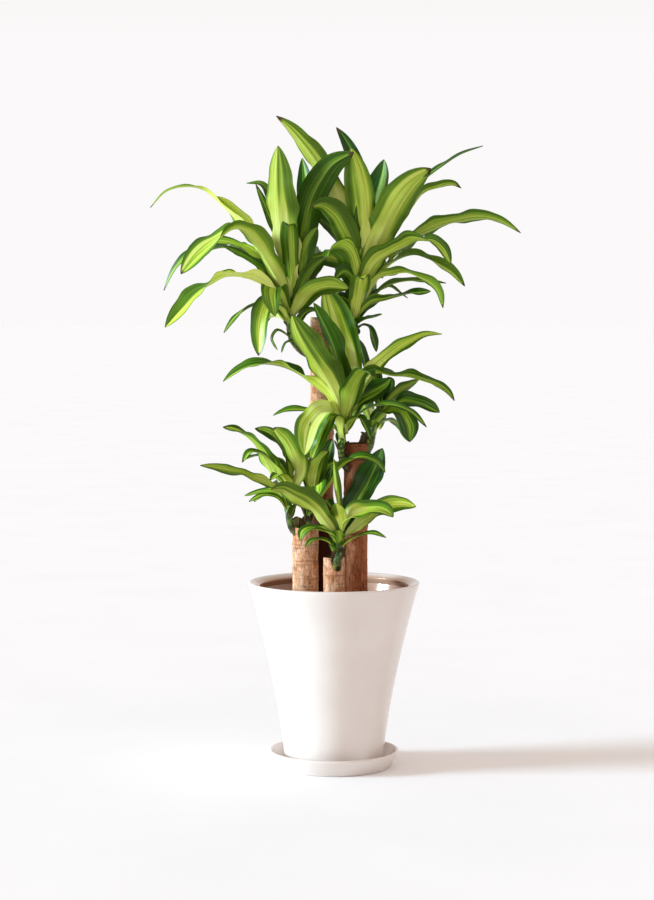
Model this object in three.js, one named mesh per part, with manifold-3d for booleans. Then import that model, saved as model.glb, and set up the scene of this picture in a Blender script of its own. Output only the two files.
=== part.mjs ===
// Potted corn plant: four cut canes with seven leafy shoots, in a glazed flower pot on its saucer.
// Millimetres, +Z up. The origin is the middle of the saucer's flat base, on the surface that it
// stands on, and the front of the plant faces -Y.

import * as THREE from 'three';
import { mergeVertices } from 'three/addons/utils/BufferGeometryUtils.js';
import Module from 'manifold-3d';

// ---- Driving sizes ----

const GAP = 0.3; // between pieces that rest on or in each other
const ROUND_SIDES = 36; // sides of the pot, the saucer and the soil
const CANE_SIDES = 14;
const STEM_SIDES = 8;

const SAUCER = {
  baseRadius: 99,
  rimRadius: 114,
  height: 30,
  floor: 8.7,
  wall: 4.5,
  footBevel: 1.5,
};

const POT = {
  baseRadius: 87,
  rimRadius: 150,
  height: 317,
  flare: 1.4, // power of the wall's outward sweep
  wall: 8,
  floor: 12,
  footBevel: 3,
  lip: 18, // the height below the rim where the wall's sweep ends in the lip
  lipWidth: 20, // the lip slopes inwards from the rim for this much
  lipDrop: 6, // and down by this much
  lipRound: 3.5, // radius of its outer edge
  lipUnder: 4, // thickness of its inner edge
  drainRadius: 14,
};

const SOIL = {
  edge: 282, // height of its surface at the pot's wall
  shoulder: 283, // a little way in from the wall
  shoulderWidth: 30,
  crown: 285, // and in the middle
  caneDepth: 120, // how far the canes go down into it
};

// Every cane is a straight cut length of trunk: where it stands, its radius and its cut top.
const CANES = {
  left: { x: -50, y: 0, radius: 23.5, top: 422 },
  right: { x: 38, y: 5, radius: 21.5, top: 569 },
  tall: { x: -21, y: 42, radius: 21, top: 788 },
  small: { x: 0, y: -40, radius: 19, top: 373 },
};
const SCAR_PITCH = 58; // between the ring scars of old leaves
const SCAR_RISE = 1.1; // how far a scar stands out
const SCAR_SLOPE = 7; // how far below its crest a scar begins
const TOP_SCAR = 0.45; // the last scar's depth below the cut, as a share of the pitch
const CUT_BEVEL = 2;

const BLADE = {
  edgeThickness: 1.0,
  ribThickness: 1.8,
  foot: 0.18, // width where the blade leaves its stem, as a share of its full width
  widest: 0.6, // where along the blade it is widest
  footCurve: 1.3, // how the outline swells from the foot
  tipCurve: 2.6, // how late the outline draws in towards the tip
  tipPoint: 0.8, // and how pointed it ends
  fold: 0.36, // how much more steeply the two halves fold up at the foot than at the tip
  foldTip: 0.24, // how steeply they fold up at the tip
  foldMiddle: 0.45, // the share of the fold that lies below the blade's route
  ripple: 4.4, // height of the waves along the margins of a blade this wide or wider:
  rippleWidth: 40,
  rippleEnd: 1.15, // the waves die out at 1 / rippleEnd of the blade's length
  rippleShape: 0.7, // how soon they swell from the foot
  phaseStep: 0.37, // each blade's waves start this share of a wave after the last one's
  phaseAcross: 0.35, // and the right margin's after the left's
  wave: 75, // length of one wave
  step: 125, // a facet for this much length
  bend: 46, // and for this much bend, in degrees
  fewestSteps: 3,
  mostSteps: 8,
  tipWidth: 1.2,
};
const STEM_STEP = 28; // length of one facet of a stem
const SHORTEST_HEADING = 6; // a midrib that runs less than this sideways takes its heading from its tip
const BACKWARD = 0.15; // a blade whose side points further back than this turns the other way

// Every shoot has a stem (its midline's points [x, y, z] and its radius at the foot and the tip) and
// two kinds of leaf. A row of leaves is [place, width, turns, ...points]: the place on the stem from 0
// at the foot to 1 at the tip, the blade's width, how far the blade's upper face turns to the front at
// its foot, middle and tip in degrees (to the back below 0), and the points of its midrib. A row of
// arched leaves, which grow at the back of the shoot, is [place, width, heading, length, rise at the
// foot, rise at the tip], with the heading counted from +X towards +Y and the rise from the level.
const SHOOTS = {
  top_left: {
    stem: [[-37, 36, 720], [-56, 30, 730], [-73, 20, 752], [-77, 12, 787], [-71, 10, 818],
      [-61, 10, 853], [-54, 10, 884]],
    radius: [7.5, 5],
    leaves: [
      [0.62, 64, [0, 0, 0], [-81, -4, 884], [-91, -14, 964], [-95, -22, 1024], [-96, -30, 1082]],
      [0.7, 50, [-40, -50, -60], [-57, 0, 884], [-52, -3, 935], [-42, -8, 985], [-24, -14, 1023],
       [-2, -22, 1051], [34, -32, 1071]],
      [0.66, 32, [0, 0, 0], [-75, -14, 883], [-78, -26, 924], [-78, -46, 949], [-79, -66, 943]],
      [0.8, 28, [-40, -35, -30], [-54, -8, 873], [-45, -14, 913], [-29, -22, 943]],
      [0.58, 60, [-50, -10, 46], [-108, -6, 877], [-130, -16, 916], [-152, -26, 941], [-174, -34, 945],
       [-199, -44, 928], [-232, -56, 899], [-262, -66, 862]],
      [0.56, 20, [-30, -14, 10], [-122, 22, 905], [-154, 25, 945], [-180, 27, 971], [-204, 29, 994],
       [-227, 31, 1012], [-257, 33, 1018], [-294, 35, 1009], [-322, 36, 980]],
      [0.5, 24, [30, 30, 35], [-126, 30, 881], [-165, 40, 914], [-209, 48, 922], [-250, 54, 905],
       [-280, 58, 876], [-301, 62, 835]],
      [0.48, 32, [40, 35, 35], [-104, 6, 851], [-124, 8, 872], [-145, 10, 887], [-169, 11, 901],
       [-195, 12, 913]],
      [0.46, 44, [-55, -5, 50], [-115, 0, 840], [-137, -10, 856], [-163, -18, 863], [-190, -24, 862],
       [-212, -30, 850], [-236, -38, 835], [-265, -48, 802], [-290, -56, 771]],
      [0.5, 34, [0, 5, 10], [-93, -30, 833], [-106, -62, 841], [-107, -92, 821], [-100, -112, 790]],
      [0.42, 33, [10, 40, 40], [-94, -12, 806], [-115, -26, 816], [-127, -38, 785], [-130, -46, 722]],
      [0.4, 18, [-30, 10, 40], [-111, 4, 809], [-134, 2, 812], [-158, 0, 801], [-176, -1, 783],
       [-192, -2, 761]],
      [0.24, 12, [0, 0, 0], [-87, 10, 762], [-99, 4, 766], [-108, 0, 752], [-99, -2, 731]],
      [0.14, 12, [0, 0, 0], [-73, 18, 746], [-84, 12, 745], [-92, 8, 727]],
      [0.46, 38, [-30, -45, -40], [-52, -14, 819], [-35, -26, 835], [-10, -32, 843], [26, -36, 838]],
      [0.3, 15, [-30, -30, -30], [-52, -4, 795], [-38, -12, 802], [-26, -18, 795]],
      [0.56, 42, [-45, -55, -50], [-126, 30, 905], [-151, 34, 939], [-172, 38, 967], [-189, 40, 986],
       [-208, 41, 1000]],
      [0.54, 32, [-40, -40, -30], [-50, -4, 846], [-35, -10, 873], [-12, -16, 894]],
      [0.6, 18, [30, 30, 30], [-91, 22, 905], [-114, 30, 968], [-137, 36, 1021]],
      [0.58, 22, [0, 0, 0], [-89, 34, 923], [-109, 48, 993], [-127, 56, 1022], [-154, 62, 1024]],
      [0.72, 36, [0, 0, 0], [-58, 28, 884], [-51, 40, 975], [-51, 46, 1028], [-56, 52, 1067]],
    ],
    arched: [
      [0.4, 28, 120, 155, 35, -55],
      [0.48, 34, 104, 230, 50, -50],
      [0.56, 40, 140, 280, 70, -25],
      [0.64, 40, 80, 260, 65, -30],
      [0.72, 36, 104, 250, 75, 5],
      [0.82, 32, 88, 190, 80, 35],
    ],
  },
  top_right: {
    stem: [[-14, 36, 681], [7, 32, 699], [26, 26, 731], [33, 20, 769], [38, 16, 811], [47, 14, 853],
      [54, 14, 891]],
    radius: [10, 6],
    leaves: [
      [0.8, 42, [-60, -60, -40], [28, 12, 922], [2, 12, 991], [-26, 10, 1055], [-54, 8, 1093],
       [-76, 4, 1117], [-100, 0, 1136]],
      [0.78, 30, [20, 20, 10], [58, 34, 932], [52, 43, 1002], [35, 52, 1067], [19, 56, 1100],
       [4, 58, 1121]],
      [0.84, 50, [0, 0, 0], [50, 6, 922], [46, -4, 991], [38, -12, 1038], [29, -20, 1079]],
      [0.74, 56, [0, 0, 0], [63, 46, 932], [70, 60, 994], [83, 68, 1040], [88, 72, 1066]],
      [0.72, 62, [-55, -60, -50], [70, 8, 910], [90, 4, 951], [109, 0, 987], [130, -3, 1015],
       [149, -5, 1032], [168, -6, 1045]],
      [0.7, 30, [-35, 0, -50], [98, 32, 923], [126, 42, 969], [156, 50, 1009], [176, 53, 1017],
       [197, 56, 1023], [211, 58, 1023], [224, 60, 1015]],
      [0.64, 34, [0, -40, -34], [94, 22, 884], [122, 27, 919], [150, 30, 936], [173, 31, 947],
       [196, 30, 955], [220, 29, 960], [246, 27, 964], [271, 25, 963], [295, 23, 955], [326, 20, 935]],
      [0.6, 46, [-80, -25, 50], [68, -6, 882], [92, -12, 901], [117, -18, 914], [136, -24, 923],
       [155, -29, 924], [172, -33, 920], [187, -37, 906], [201, -40, 879]],
      [0.58, 30, [-50, -5, -55], [87, 14, 874], [115, 14, 894], [141, 13, 900], [164, 11, 893],
       [188, 8, 881], [209, 6, 866], [228, 4, 842]],
      [0.54, 28, [-55, -8, -50], [76, -8, 858], [100, -16, 865], [126, -24, 868], [146, -29, 860],
       [167, -32, 849], [181, -34, 833], [188, -35, 804]],
      [0.54, 16, [-30, -30, -30], [86, 24, 841], [109, 30, 850], [140, 34, 854], [197, 38, 848]],
      [0.5, 28, [-60, -12, 60], [63, -4, 813], [90, -12, 821], [114, -17, 828], [133, -20, 832],
       [149, -23, 832], [167, -26, 833]],
      [0.52, 14, [-30, -15, 0], [74, 30, 835], [98, 36, 843], [116, 40, 832], [130, 42, 822]],
      [0.48, 20, [-20, 0, 20], [54, 4, 787], [68, 0, 790], [83, -4, 794]],
      [0.4, 18, [0, 15, 30], [49, 8, 776], [61, 2, 773], [69, -4, 752], [74, -6, 728]],
      [0.5, 36, [0, 0, 0], [42, -14, 825], [46, -30, 850], [48, -44, 860], [49, -58, 853]],
      [0.64, 42, [-45, -40, 20], [31, -6, 877], [21, -18, 902], [7, -30, 910], [-9, -42, 905],
       [-15, -50, 886]],
      [0.72, 42, [-50, -50, -25], [31, -10, 911], [19, -20, 943], [2, -32, 970], [-19, -44, 982],
       [-39, -54, 977]],
      [0.7, 28, [30, 30, 30], [32, 30, 930], [18, 36, 986], [5, 42, 1033]],
      [0.76, 24, [0, 0, 0], [35, 4, 936], [28, 0, 998], [22, -4, 1049]],
      [0.6, 30, [-35, -40, -40], [28, -8, 859], [15, -18, 867], [0, -28, 854]],
      [0.58, 30, [-40, -45, -40], [23, 14, 874], [-9, 18, 889], [-51, 26, 886]],
      [0.66, 44, [-40, -45, -45], [23, 16, 910], [4, 20, 938], [-16, 24, 957], [-38, 26, 968]],
      [0.4, 28, [-35, -35, -20], [28, 8, 809], [16, 12, 821], [4, 14, 818], [-5, 14, 802]],
      [0.74, 24, [0, 0, 0], [80, 26, 923], [119, 20, 988], [155, 8, 1028], [183, -2, 1049],
       [218, -7, 1071], [257, -10, 1084]],
      [0.3, 20, [0, 15, 30], [35, 29, 751], [46, 25, 745], [53, 21, 720], [58, 18, 690]],
    ],
    arched: [
      [0.45, 30, 96, 200, 40, -55],
      [0.54, 38, 82, 270, 55, -45],
      [0.62, 42, 96, 280, 62, -35],
      [0.7, 38, 76, 230, 60, -40],
      [0.78, 38, 80, 270, 75, 10],
      [0.86, 32, 125, 180, 80, 45],
    ],
  },
  middle: {
    stem: [[31, -2, 515], [16, -14, 535], [12, -18, 563], [16, -20, 593], [21, -20, 622],
      [24, -20, 645]],
    radius: [6, 5],
    leaves: [
      [0.72, 60, [-15, -15, -15], [7, -32, 652], [-17, -50, 699], [-43, -66, 739], [-60, -76, 768],
       [-71, -84, 793]],
      [0.8, 40, [0, 0, 0], [19, -28, 671], [5, -32, 732], [-16, -36, 780], [-35, -40, 813]],
      [0.76, 56, [0, 0, 0], [26, -8, 688], [16, -6, 748], [2, -5, 797], [-16, -4, 842]],
      [0.7, 46, [0, 0, 0], [28, -36, 645], [36, -50, 670], [46, -66, 691], [56, -82, 699],
       [66, -96, 689]],
      [0.68, 40, [-50, -14, -38], [35, -10, 662], [52, -11, 688], [75, -12, 696], [101, -12, 691],
       [127, -11, 689], [153, -10, 682], [179, -8, 672], [198, -7, 659], [210, -6, 643]],
      [0.68, 28, [40, 38, 12], [49, 4, 668], [68, 6, 699], [91, 9, 720], [114, 12, 736], [136, 14, 748],
       [159, 16, 758], [189, 18, 759]],
      [0.56, 50, [10, 30, 40], [0, -36, 623], [-17, -52, 630], [-40, -70, 606], [-51, -84, 553]],
      [0.46, 38, [10, 30, 40], [5, -34, 609], [-9, -50, 622], [-26, -68, 590], [-40, -78, 543]],
      [0.6, 38, [-80, 0, 36], [-5, -22, 646], [-23, -21, 665], [-40, -20, 679], [-59, -19, 693],
       [-82, -18, 704], [-109, -17, 710], [-137, -15, 709], [-158, -13, 702], [-175, -12, 692],
       [-193, -10, 677]],
      [0.54, 18, [28, 28, 30], [-24, -18, 624], [-52, -16, 629], [-78, -16, 629], [-94, -16, 624],
       [-106, -16, 618]],
      [0.52, 18, [-30, 20, 45], [41, -34, 621], [69, -44, 637], [100, -52, 639], [132, -58, 627],
       [159, -62, 600]],
      [0.54, 44, [30, 30, 30], [40, 2, 642], [66, 10, 659], [88, 16, 671], [100, 20, 682]],
      [0.5, 20, [0, 0, 20], [29, -30, 610], [45, -38, 616], [57, -44, 597], [64, -46, 575]],
    ],
    arched: [
      [0.6, 36, 76, 240, 50, -45],
      [0.74, 34, 84, 230, 70, -5],
    ],
  },
  middle_right: {
    stem: [[42, 6, 542], [60, 8, 559], [67, 8, 584], [73, 8, 607], [82, 8, 624], [91, 8, 640]],
    radius: [8, 5],
    leaves: [
      [0.74, 30, [-45, -45, -40], [103, 14, 649], [123, 20, 662], [149, 26, 679]],
      [0.68, 34, [-30, 30, 50], [101, -4, 635], [118, -10, 644], [137, -16, 644], [158, -22, 638],
       [183, -28, 624]],
      [0.62, 44, [0, 20, 40], [94, -10, 627], [114, -22, 626], [126, -32, 604], [131, -38, 573]],
      [0.84, 24, [0, 0, 0], [95, 22, 655], [99, 34, 669], [95, 46, 683]],
    ],
    arched: [
      [0.5, 28, 60, 130, 40, -50],
      [0.58, 30, 85, 180, 40, -50],
      [0.66, 30, 50, 160, 55, -40],
      [0.8, 26, 99, 150, 72, 0],
    ],
  },
  left_outer: {
    stem: [[-56, -8, 403], [-73, -10, 419], [-79, -12, 442], [-78, -12, 465], [-73, -10, 484],
      [-68, -8, 505]],
    radius: [6, 4.5],
    leaves: [
      [0.6, 26, [20, 34, 34], [-98, -16, 489], [-118, -19, 501], [-139, -22, 508], [-160, -25, 519],
       [-184, -28, 523], [-210, -30, 529], [-232, -32, 532]],
      [0.74, 38, [-60, -45, 30], [-89, -8, 501], [-103, -7, 515], [-114, -6, 536], [-126, -6, 557],
       [-139, -6, 573], [-153, -6, 585], [-171, -6, 593], [-194, -6, 597]],
      [0.68, 22, [-45, 0, 40], [-99, -22, 527], [-116, -30, 546], [-133, -36, 557], [-147, -41, 556],
       [-159, -44, 538]],
      [0.8, 26, [-40, -30, 20], [-79, 10, 537], [-91, 14, 561], [-103, 18, 578], [-119, 22, 588],
       [-139, 24, 593]],
      [0.84, 44, [-55, -55, -45], [-61, -14, 522], [-68, -18, 545], [-76, -22, 565], [-88, -28, 583],
       [-104, -34, 598]],
      [0.72, 22, [-20, 0, 20], [-82, -26, 506], [-95, -44, 519], [-110, -62, 509]],
      [0.54, 14, [30, 30, 30], [-101, 0, 483], [-126, 4, 484], [-157, 8, 476]],
      [0.48, 14, [30, 30, 30], [-97, -18, 474], [-123, -24, 480], [-148, -30, 469]],
    ],
    arched: [
      [0.5, 24, 117, 150, 40, -35],
      [0.6, 28, 100, 180, 45, -45],
      [0.68, 28, 102, 170, 58, -30],
      [0.78, 26, 138, 150, 80, -30],
    ],
  },
  left_inner: {
    stem: [[-49, -8, 406], [-46, -10, 428], [-44, -12, 451], [-38, -12, 472], [-33, -12, 493]],
    radius: [6, 4.5],
    leaves: [
      [0.8, 34, [-40, -40, -30], [-31, -16, 519], [-23, -22, 544], [-10, -30, 558]],
      [0.76, 30, [30, 30, 30], [-24, 8, 517], [-12, 14, 552], [-3, 18, 575]],
      [0.62, 42, [0, 5, 10], [-33, -34, 491], [-33, -56, 501], [-32, -80, 477]],
      [0.4, 28, [0, 5, 10], [-26, -24, 462], [-14, -34, 473], [0, -40, 457]],
      [0.56, 28, [-20, 6, 45], [-14, -26, 492], [7, -40, 528], [26, -48, 544], [46, -54, 550],
       [67, -58, 545], [79, -60, 536], [88, -62, 522]],
      [0.68, 36, [30, 30, 30], [-21, 2, 507], [-7, 4, 525], [7, 4, 535]],
    ],
    arched: [
      [0.5, 24, 114, 110, 50, -40],
      [0.74, 22, 128, 80, 75, 30],
    ],
  },
  front: {
    stem: [[4, -46, 346], [5, -58, 365], [7, -62, 386], [10, -62, 407], [12, -62, 426]],
    radius: [8, 4.5],
    leaves: [
      [0.74, 44, [-40, -42, -42], [-10, -70, 435], [-29, -77, 460], [-48, -83, 476], [-69, -89, 488],
       [-89, -95, 498], [-108, -100, 496]],
      [0.62, 26, [-30, 10, 40], [-7, -70, 420], [-24, -80, 427], [-41, -88, 429], [-53, -92, 423],
       [-58, -94, 408]],
      [0.52, 14, [10, 15, 20], [-10, -66, 404], [-28, -70, 409], [-41, -74, 405], [-50, -78, 394]],
      [0.86, 13, [0, 0, 0], [10, -66, 457], [6, -70, 496], [3, -72, 523], [0, -74, 546]],
      [0.78, 40, [35, 38, 40], [22, -67, 444], [36, -71, 455], [55, -77, 461], [73, -83, 463],
       [90, -88, 458], [101, -92, 448]],
      [0.72, 36, [35, 42, 42], [38, -56, 429], [58, -56, 444], [79, -57, 458], [98, -58, 465],
       [117, -60, 467], [141, -62, 463]],
      [0.56, 14, [20, 20, 25], [27, -66, 407], [48, -72, 416], [68, -78, 419], [89, -84, 412]],
      [0.82, 52, [30, 30, 20], [34, -46, 464], [57, -34, 501], [73, -24, 535], [84, -16, 561]],
      [0.9, 26, [0, 0, 0], [8, -74, 448], [3, -84, 471]],
    ],
    arched: [
      [0.6, 24, 100, 65, 55, -10],
    ],
  },
};
const ARCH_POINTS = 5;
const BEND_SAMPLES = 12; // places where a midrib's bend is measured
const SHOOT_CANE = {
  top_left: 'tall',
  top_right: 'tall',
  middle: 'right',
  middle_right: 'right',
  left_outer: 'left',
  left_inner: 'left',
  front: 'small',
};

// ---- Finishes ----

const glaze = new THREE.MeshStandardMaterial({ color: 0xf0e6df, roughness: 0.18, metalness: 0 });
const earth = new THREE.MeshStandardMaterial({ color: 0x8d6a4f, roughness: 0.95, metalness: 0 });
const bark = new THREE.MeshStandardMaterial({ color: 0xa98462, roughness: 0.85, metalness: 0 });
const leaf = new THREE.MeshStandardMaterial({ color: 0x6f9a2c, roughness: 0.4, metalness: 0 });

// ---- Solids ----

const wasm = await Module();
wasm.setup();

// A closed mesh's shared corners are merged and its empty triangles dropped, and it is turned the
// right way out if it came inside out.
function solidOf(geometry) {
  geometry.deleteAttribute('normal');
  geometry.deleteAttribute('uv');
  const merged = mergeVertices(geometry, 1e-4);
  const corners = merged.index.array;
  const positions = merged.attributes.position;
  const kept = [];
  const a = new THREE.Vector3();
  const b = new THREE.Vector3();
  const c = new THREE.Vector3();
  let volume = 0;
  for (let i = 0; i < corners.length; i += 3) {
    const [p, q, r] = [corners[i], corners[i + 1], corners[i + 2]];
    if (p === q || q === r || r === p) {
      continue;
    }
    kept.push(p, q, r);
    a.fromBufferAttribute(positions, p);
    b.fromBufferAttribute(positions, q);
    c.fromBufferAttribute(positions, r);
    volume += a.dot(b.cross(c));
  }
  if (volume < 0) {
    kept.reverse();
  }
  return new wasm.Manifold(new wasm.Mesh({
    numProp: 3,
    vertProperties: new Float32Array(positions.array),
    triVerts: new Uint32Array(kept),
  }));
}

function meshOf(name, solid, material) {
  const { vertProperties, triVerts } = solid.getMesh();
  const geometry = new THREE.BufferGeometry();
  geometry.setAttribute('position', new THREE.BufferAttribute(vertProperties, 3));
  geometry.setIndex(new THREE.BufferAttribute(triVerts, 1));
  const mesh = new THREE.Mesh(geometry, material);
  mesh.name = name;
  return mesh;
}

// A shoot's seat is cut out by its cane, which can leave a loose scrap inside the cane's outline.
function largestPiece(solid) {
  return solid.decompose().reduce((best, piece) => (piece.volume() > best.volume() ? piece : best));
}

// A profile of [radius, height] points turned round the Z axis.
function turned(profile, sides) {
  const outline = profile.map(([radius, height]) => new THREE.Vector2(radius, height));
  return new THREE.LatheGeometry(outline, sides).rotateX(Math.PI / 2);
}

// A skin over rings of equally many points, closed at both ends. A quad from ring point k to the next
// is split the other way where split[k] is set, so that two faces of a thin blade can match.
function lofted(rings, split = []) {
  const size = rings[0].length;
  const index = [];
  for (let i = 0; i < rings.length - 1; i += 1) {
    for (let k = 0; k < size; k += 1) {
      const next = (k + 1) % size;
      const [p, q] = [i * size + k, i * size + next];
      const [r, s] = [p + size, q + size];
      if (split[k]) {
        index.push(p, q, r, q, s, r);
      } else {
        index.push(p, q, s, p, s, r);
      }
    }
  }
  const last = (rings.length - 1) * size;
  const apex = Math.floor(size / 4);
  for (let k = 1; k < size - 1; k += 1) {
    const [q, r] = [(apex + k) % size, (apex + k + 1) % size];
    index.push(apex, r, q, last + apex, last + q, last + r);
  }
  const geometry = new THREE.BufferGeometry();
  const positions = rings.flat().flatMap((point) => point.toArray());
  geometry.setAttribute('position', new THREE.Float32BufferAttribute(positions, 3));
  geometry.setIndex(index);
  return geometry;
}

// ---- Pot, saucer and soil ----

const potBase = SAUCER.floor + GAP;
const potTop = potBase + POT.height;

function potRadius(height) {
  const share = THREE.MathUtils.clamp((height - potBase) / POT.height, 0, 1);
  return POT.baseRadius + (POT.rimRadius - POT.baseRadius) * share ** POT.flare;
}

function stepsBetween(low, high, steps) {
  return Array.from({ length: steps + 1 }, (_, i) => low + ((high - low) * i) / steps);
}

// A round-over from the outer wall's top, over the lip, to the inner wall's top.
function lipArc(outerRadius, wall, top, points) {
  const middle = outerRadius - wall / 2;
  return Array.from({ length: points }, (_, i) => {
    const angle = (Math.PI * i) / (points - 1);
    return [middle + (wall / 2) * Math.cos(angle), top - wall / 2 + (wall / 2) * Math.sin(angle)];
  });
}

function buildPot() {
  const floorTop = potBase + POT.floor;
  const lipFoot = potTop - POT.lip;
  const outside = stepsBetween(potBase + POT.footBevel, lipFoot, 6).map((z) => [potRadius(z), z]);
  const inside = stepsBetween(lipFoot, floorTop, 5).map((z) => [potRadius(z) - POT.wall, z]);
  const profile = [
    [POT.drainRadius, potBase],
    [POT.baseRadius - POT.footBevel, potBase],
    ...outside,
    [POT.rimRadius, potTop - POT.lipRound],
    [POT.rimRadius - POT.lipRound / 3, potTop - POT.lipRound / 3],
    [POT.rimRadius - POT.lipRound, potTop],
    [POT.rimRadius - POT.lipWidth, potTop - POT.lipDrop],
    [POT.rimRadius - POT.lipWidth, potTop - POT.lipDrop - POT.lipUnder],
    ...inside,
    [POT.drainRadius, floorTop],
    [POT.drainRadius, potBase],
  ];
  return solidOf(turned(profile, ROUND_SIDES));
}

function buildSaucer() {
  const slope = (SAUCER.rimRadius - SAUCER.baseRadius) / SAUCER.height;
  const innerFoot = SAUCER.baseRadius + slope * SAUCER.floor - SAUCER.wall;
  const profile = [
    [0, 0],
    [SAUCER.baseRadius - SAUCER.footBevel, 0],
    [SAUCER.baseRadius + slope * SAUCER.footBevel, SAUCER.footBevel],
    ...lipArc(SAUCER.rimRadius, SAUCER.wall, SAUCER.height, 4),
    [innerFoot, SAUCER.floor],
    [0, SAUCER.floor],
  ];
  return solidOf(turned(profile, ROUND_SIDES));
}

function buildSoil(canes) {
  const bottom = potBase + POT.floor + GAP;
  const wall = POT.wall + GAP;
  const sides = stepsBetween(potTop - POT.lip, bottom, 5)
    .reverse()
    .filter((z) => z < SOIL.edge)
    .map((z) => [potRadius(z) - wall, z]);
  const profile = [
    [0, bottom],
    ...sides,
    [potRadius(SOIL.edge) - wall, SOIL.edge],
    [potRadius(SOIL.edge) - wall - SOIL.shoulderWidth, SOIL.shoulder],
    [0, SOIL.crown],
  ];
  return canes.reduce((soil, cane) => soil.subtract(cane), solidOf(turned(profile, ROUND_SIDES)));
}

// ---- Canes ----

// A cane with its ring scars, or, with a clearance, the room that it takes up.
function buildCane({ x, y, radius, top }, clearance = 0) {
  const bottom = SOIL.edge - SOIL.caneDepth;
  const profile = [
    [0, bottom - clearance],
    [radius + clearance, bottom - clearance],
  ];
  const rings = Math.floor((top - CUT_BEVEL - SOIL.crown) / SCAR_PITCH);
  for (let i = 1; i <= rings; i += 1) {
    const scar = top - CUT_BEVEL - (rings + TOP_SCAR - i) * SCAR_PITCH;
    profile.push([radius + clearance, scar - SCAR_SLOPE]);
    profile.push([radius + SCAR_RISE + clearance, scar]);
  }
  profile.push([radius + clearance, top - CUT_BEVEL]);
  profile.push([radius - CUT_BEVEL + clearance, top + clearance]);
  profile.push([0, top + clearance]);
  return solidOf(turned(profile, CANE_SIDES).translate(x, y, 0));
}

// ---- Shoots ----

function curveThrough(points) {
  return new THREE.CatmullRomCurve3(points, false, 'centripetal');
}

function buildStem(curve, [footRadius, tipRadius]) {
  const steps = Math.round(curve.getLength() / STEM_STEP);
  const rings = [];
  const side = new THREE.Vector3(1, 0, 0);
  for (let i = 0; i <= steps; i += 1) {
    const along = curve.getTangentAt(i / steps);
    side.addScaledVector(along, -side.dot(along)).normalize();
    const across = new THREE.Vector3().crossVectors(along, side);
    const radius = THREE.MathUtils.lerp(footRadius, tipRadius, i / steps);
    rings.push(Array.from({ length: STEM_SIDES }, (_, k) => {
      const angle = (2 * Math.PI * k) / STEM_SIDES;
      return curve.getPointAt(i / steps)
        .addScaledVector(side, radius * Math.cos(angle))
        .addScaledVector(across, radius * Math.sin(angle));
    }));
  }
  return solidOf(lofted(rings));
}

// Width at a place along the blade, as a share of its full width: a narrow foot, then a lance.
function breadth(place) {
  if (place < BLADE.widest) {
    const swell = Math.sin((Math.PI / 2) * (place / BLADE.widest)) ** BLADE.footCurve;
    return BLADE.foot + (1 - BLADE.foot) * swell;
  }
  const past = (place - BLADE.widest) / (1 - BLADE.widest);
  return Math.max(0, 1 - past ** BLADE.tipCurve) ** BLADE.tipPoint;
}

// The turn between the foot's, the middle's and the tip's, easing from each to the next.
function turnAt(turns, place) {
  const half = place < 0.5 ? 0 : 1;
  const share = THREE.MathUtils.smoothstep(place * 2 - half, 0, 1);
  return THREE.MathUtils.degToRad(THREE.MathUtils.lerp(turns[half], turns[half + 1], share));
}

// The direction of a blade's upper face at every step: square to the midrib and in line with the
// leaf's heading at the foot, then carried along without twisting.
function upperFaces(curve, steps) {
  const foot = curve.getPointAt(0);
  const heading = curve.getPointAt(0.5).sub(foot).setZ(0);
  if (heading.length() < SHORTEST_HEADING) {
    heading.copy(curve.getPointAt(1).sub(foot).setZ(0));
  }
  heading.normalize();
  const first = curve.getTangentAt(0);
  const up = new THREE.Vector3(0, 0, first.dot(heading)).addScaledVector(heading, -first.z);
  return Array.from({ length: steps + 1 }, (_, i) => {
    const along = curve.getTangentAt(i / steps);
    return up.addScaledVector(along, -up.dot(along)).normalize().clone();
  });
}

// A long or a much bent blade has more facets along it.
function facetCount(curve, length) {
  const samples = stepsBetween(0, 1, BEND_SAMPLES).map((place) => curve.getTangentAt(place));
  const bend = samples.slice(1).reduce((sum, along, i) => sum + along.angleTo(samples[i]), 0);
  const steps = Math.round(length / BLADE.step + THREE.MathUtils.radToDeg(bend) / BLADE.bend);
  return THREE.MathUtils.clamp(steps, BLADE.fewestSteps, BLADE.mostSteps);
}

function buildBlade(points, width, turns, phase) {
  const curve = curveThrough(points);
  const length = curve.getLength();
  const steps = facetCount(curve, length);
  const faces = upperFaces(curve, steps);
  const middle = Math.floor(steps / 2);
  const middleSide = new THREE.Vector3().crossVectors(curve.getTangentAt(middle / steps), faces[middle]);
  const sense = middleSide.y <= BACKWARD ? 1 : -1;
  const ripple = BLADE.ripple * Math.min(1, width / BLADE.rippleWidth);
  const rings = [];
  for (let i = 0; i <= steps; i += 1) {
    const place = i / steps;
    const along = curve.getTangentAt(place);
    const up = faces[i].clone().applyAxisAngle(along, sense * turnAt(turns, place));
    const side = new THREE.Vector3().crossVectors(along, up);
    const half = Math.max((width / 2) * breadth(place), BLADE.tipWidth / 2);
    const fold = (BLADE.fold * (1 - place) ** 2 + BLADE.foldTip) * half;
    const swell = Math.sin(Math.PI * Math.min(1, place * BLADE.rippleEnd)) ** BLADE.rippleShape * ripple;
    const rib = curve.getPointAt(place).addScaledVector(up, -BLADE.foldMiddle * fold);
    const edge = (sign) => {
      const shift = phase + (sign > 0 ? BLADE.phaseAcross : 0);
      const rise = fold + swell * Math.sin(2 * Math.PI * ((place * length) / BLADE.wave + shift));
      return rib.clone().addScaledVector(side, sign * half).addScaledVector(up, rise);
    };
    const upper = [edge(-1), rib, edge(1)];
    const lower = [BLADE.edgeThickness, BLADE.ribThickness, BLADE.edgeThickness]
      .map((thickness, k) => upper[k].clone().addScaledVector(up, -thickness));
    rings.push([...upper, ...lower.reverse()]);
  }
  return solidOf(lofted(rings, [false, false, false, true, true, false]));
}

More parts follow.
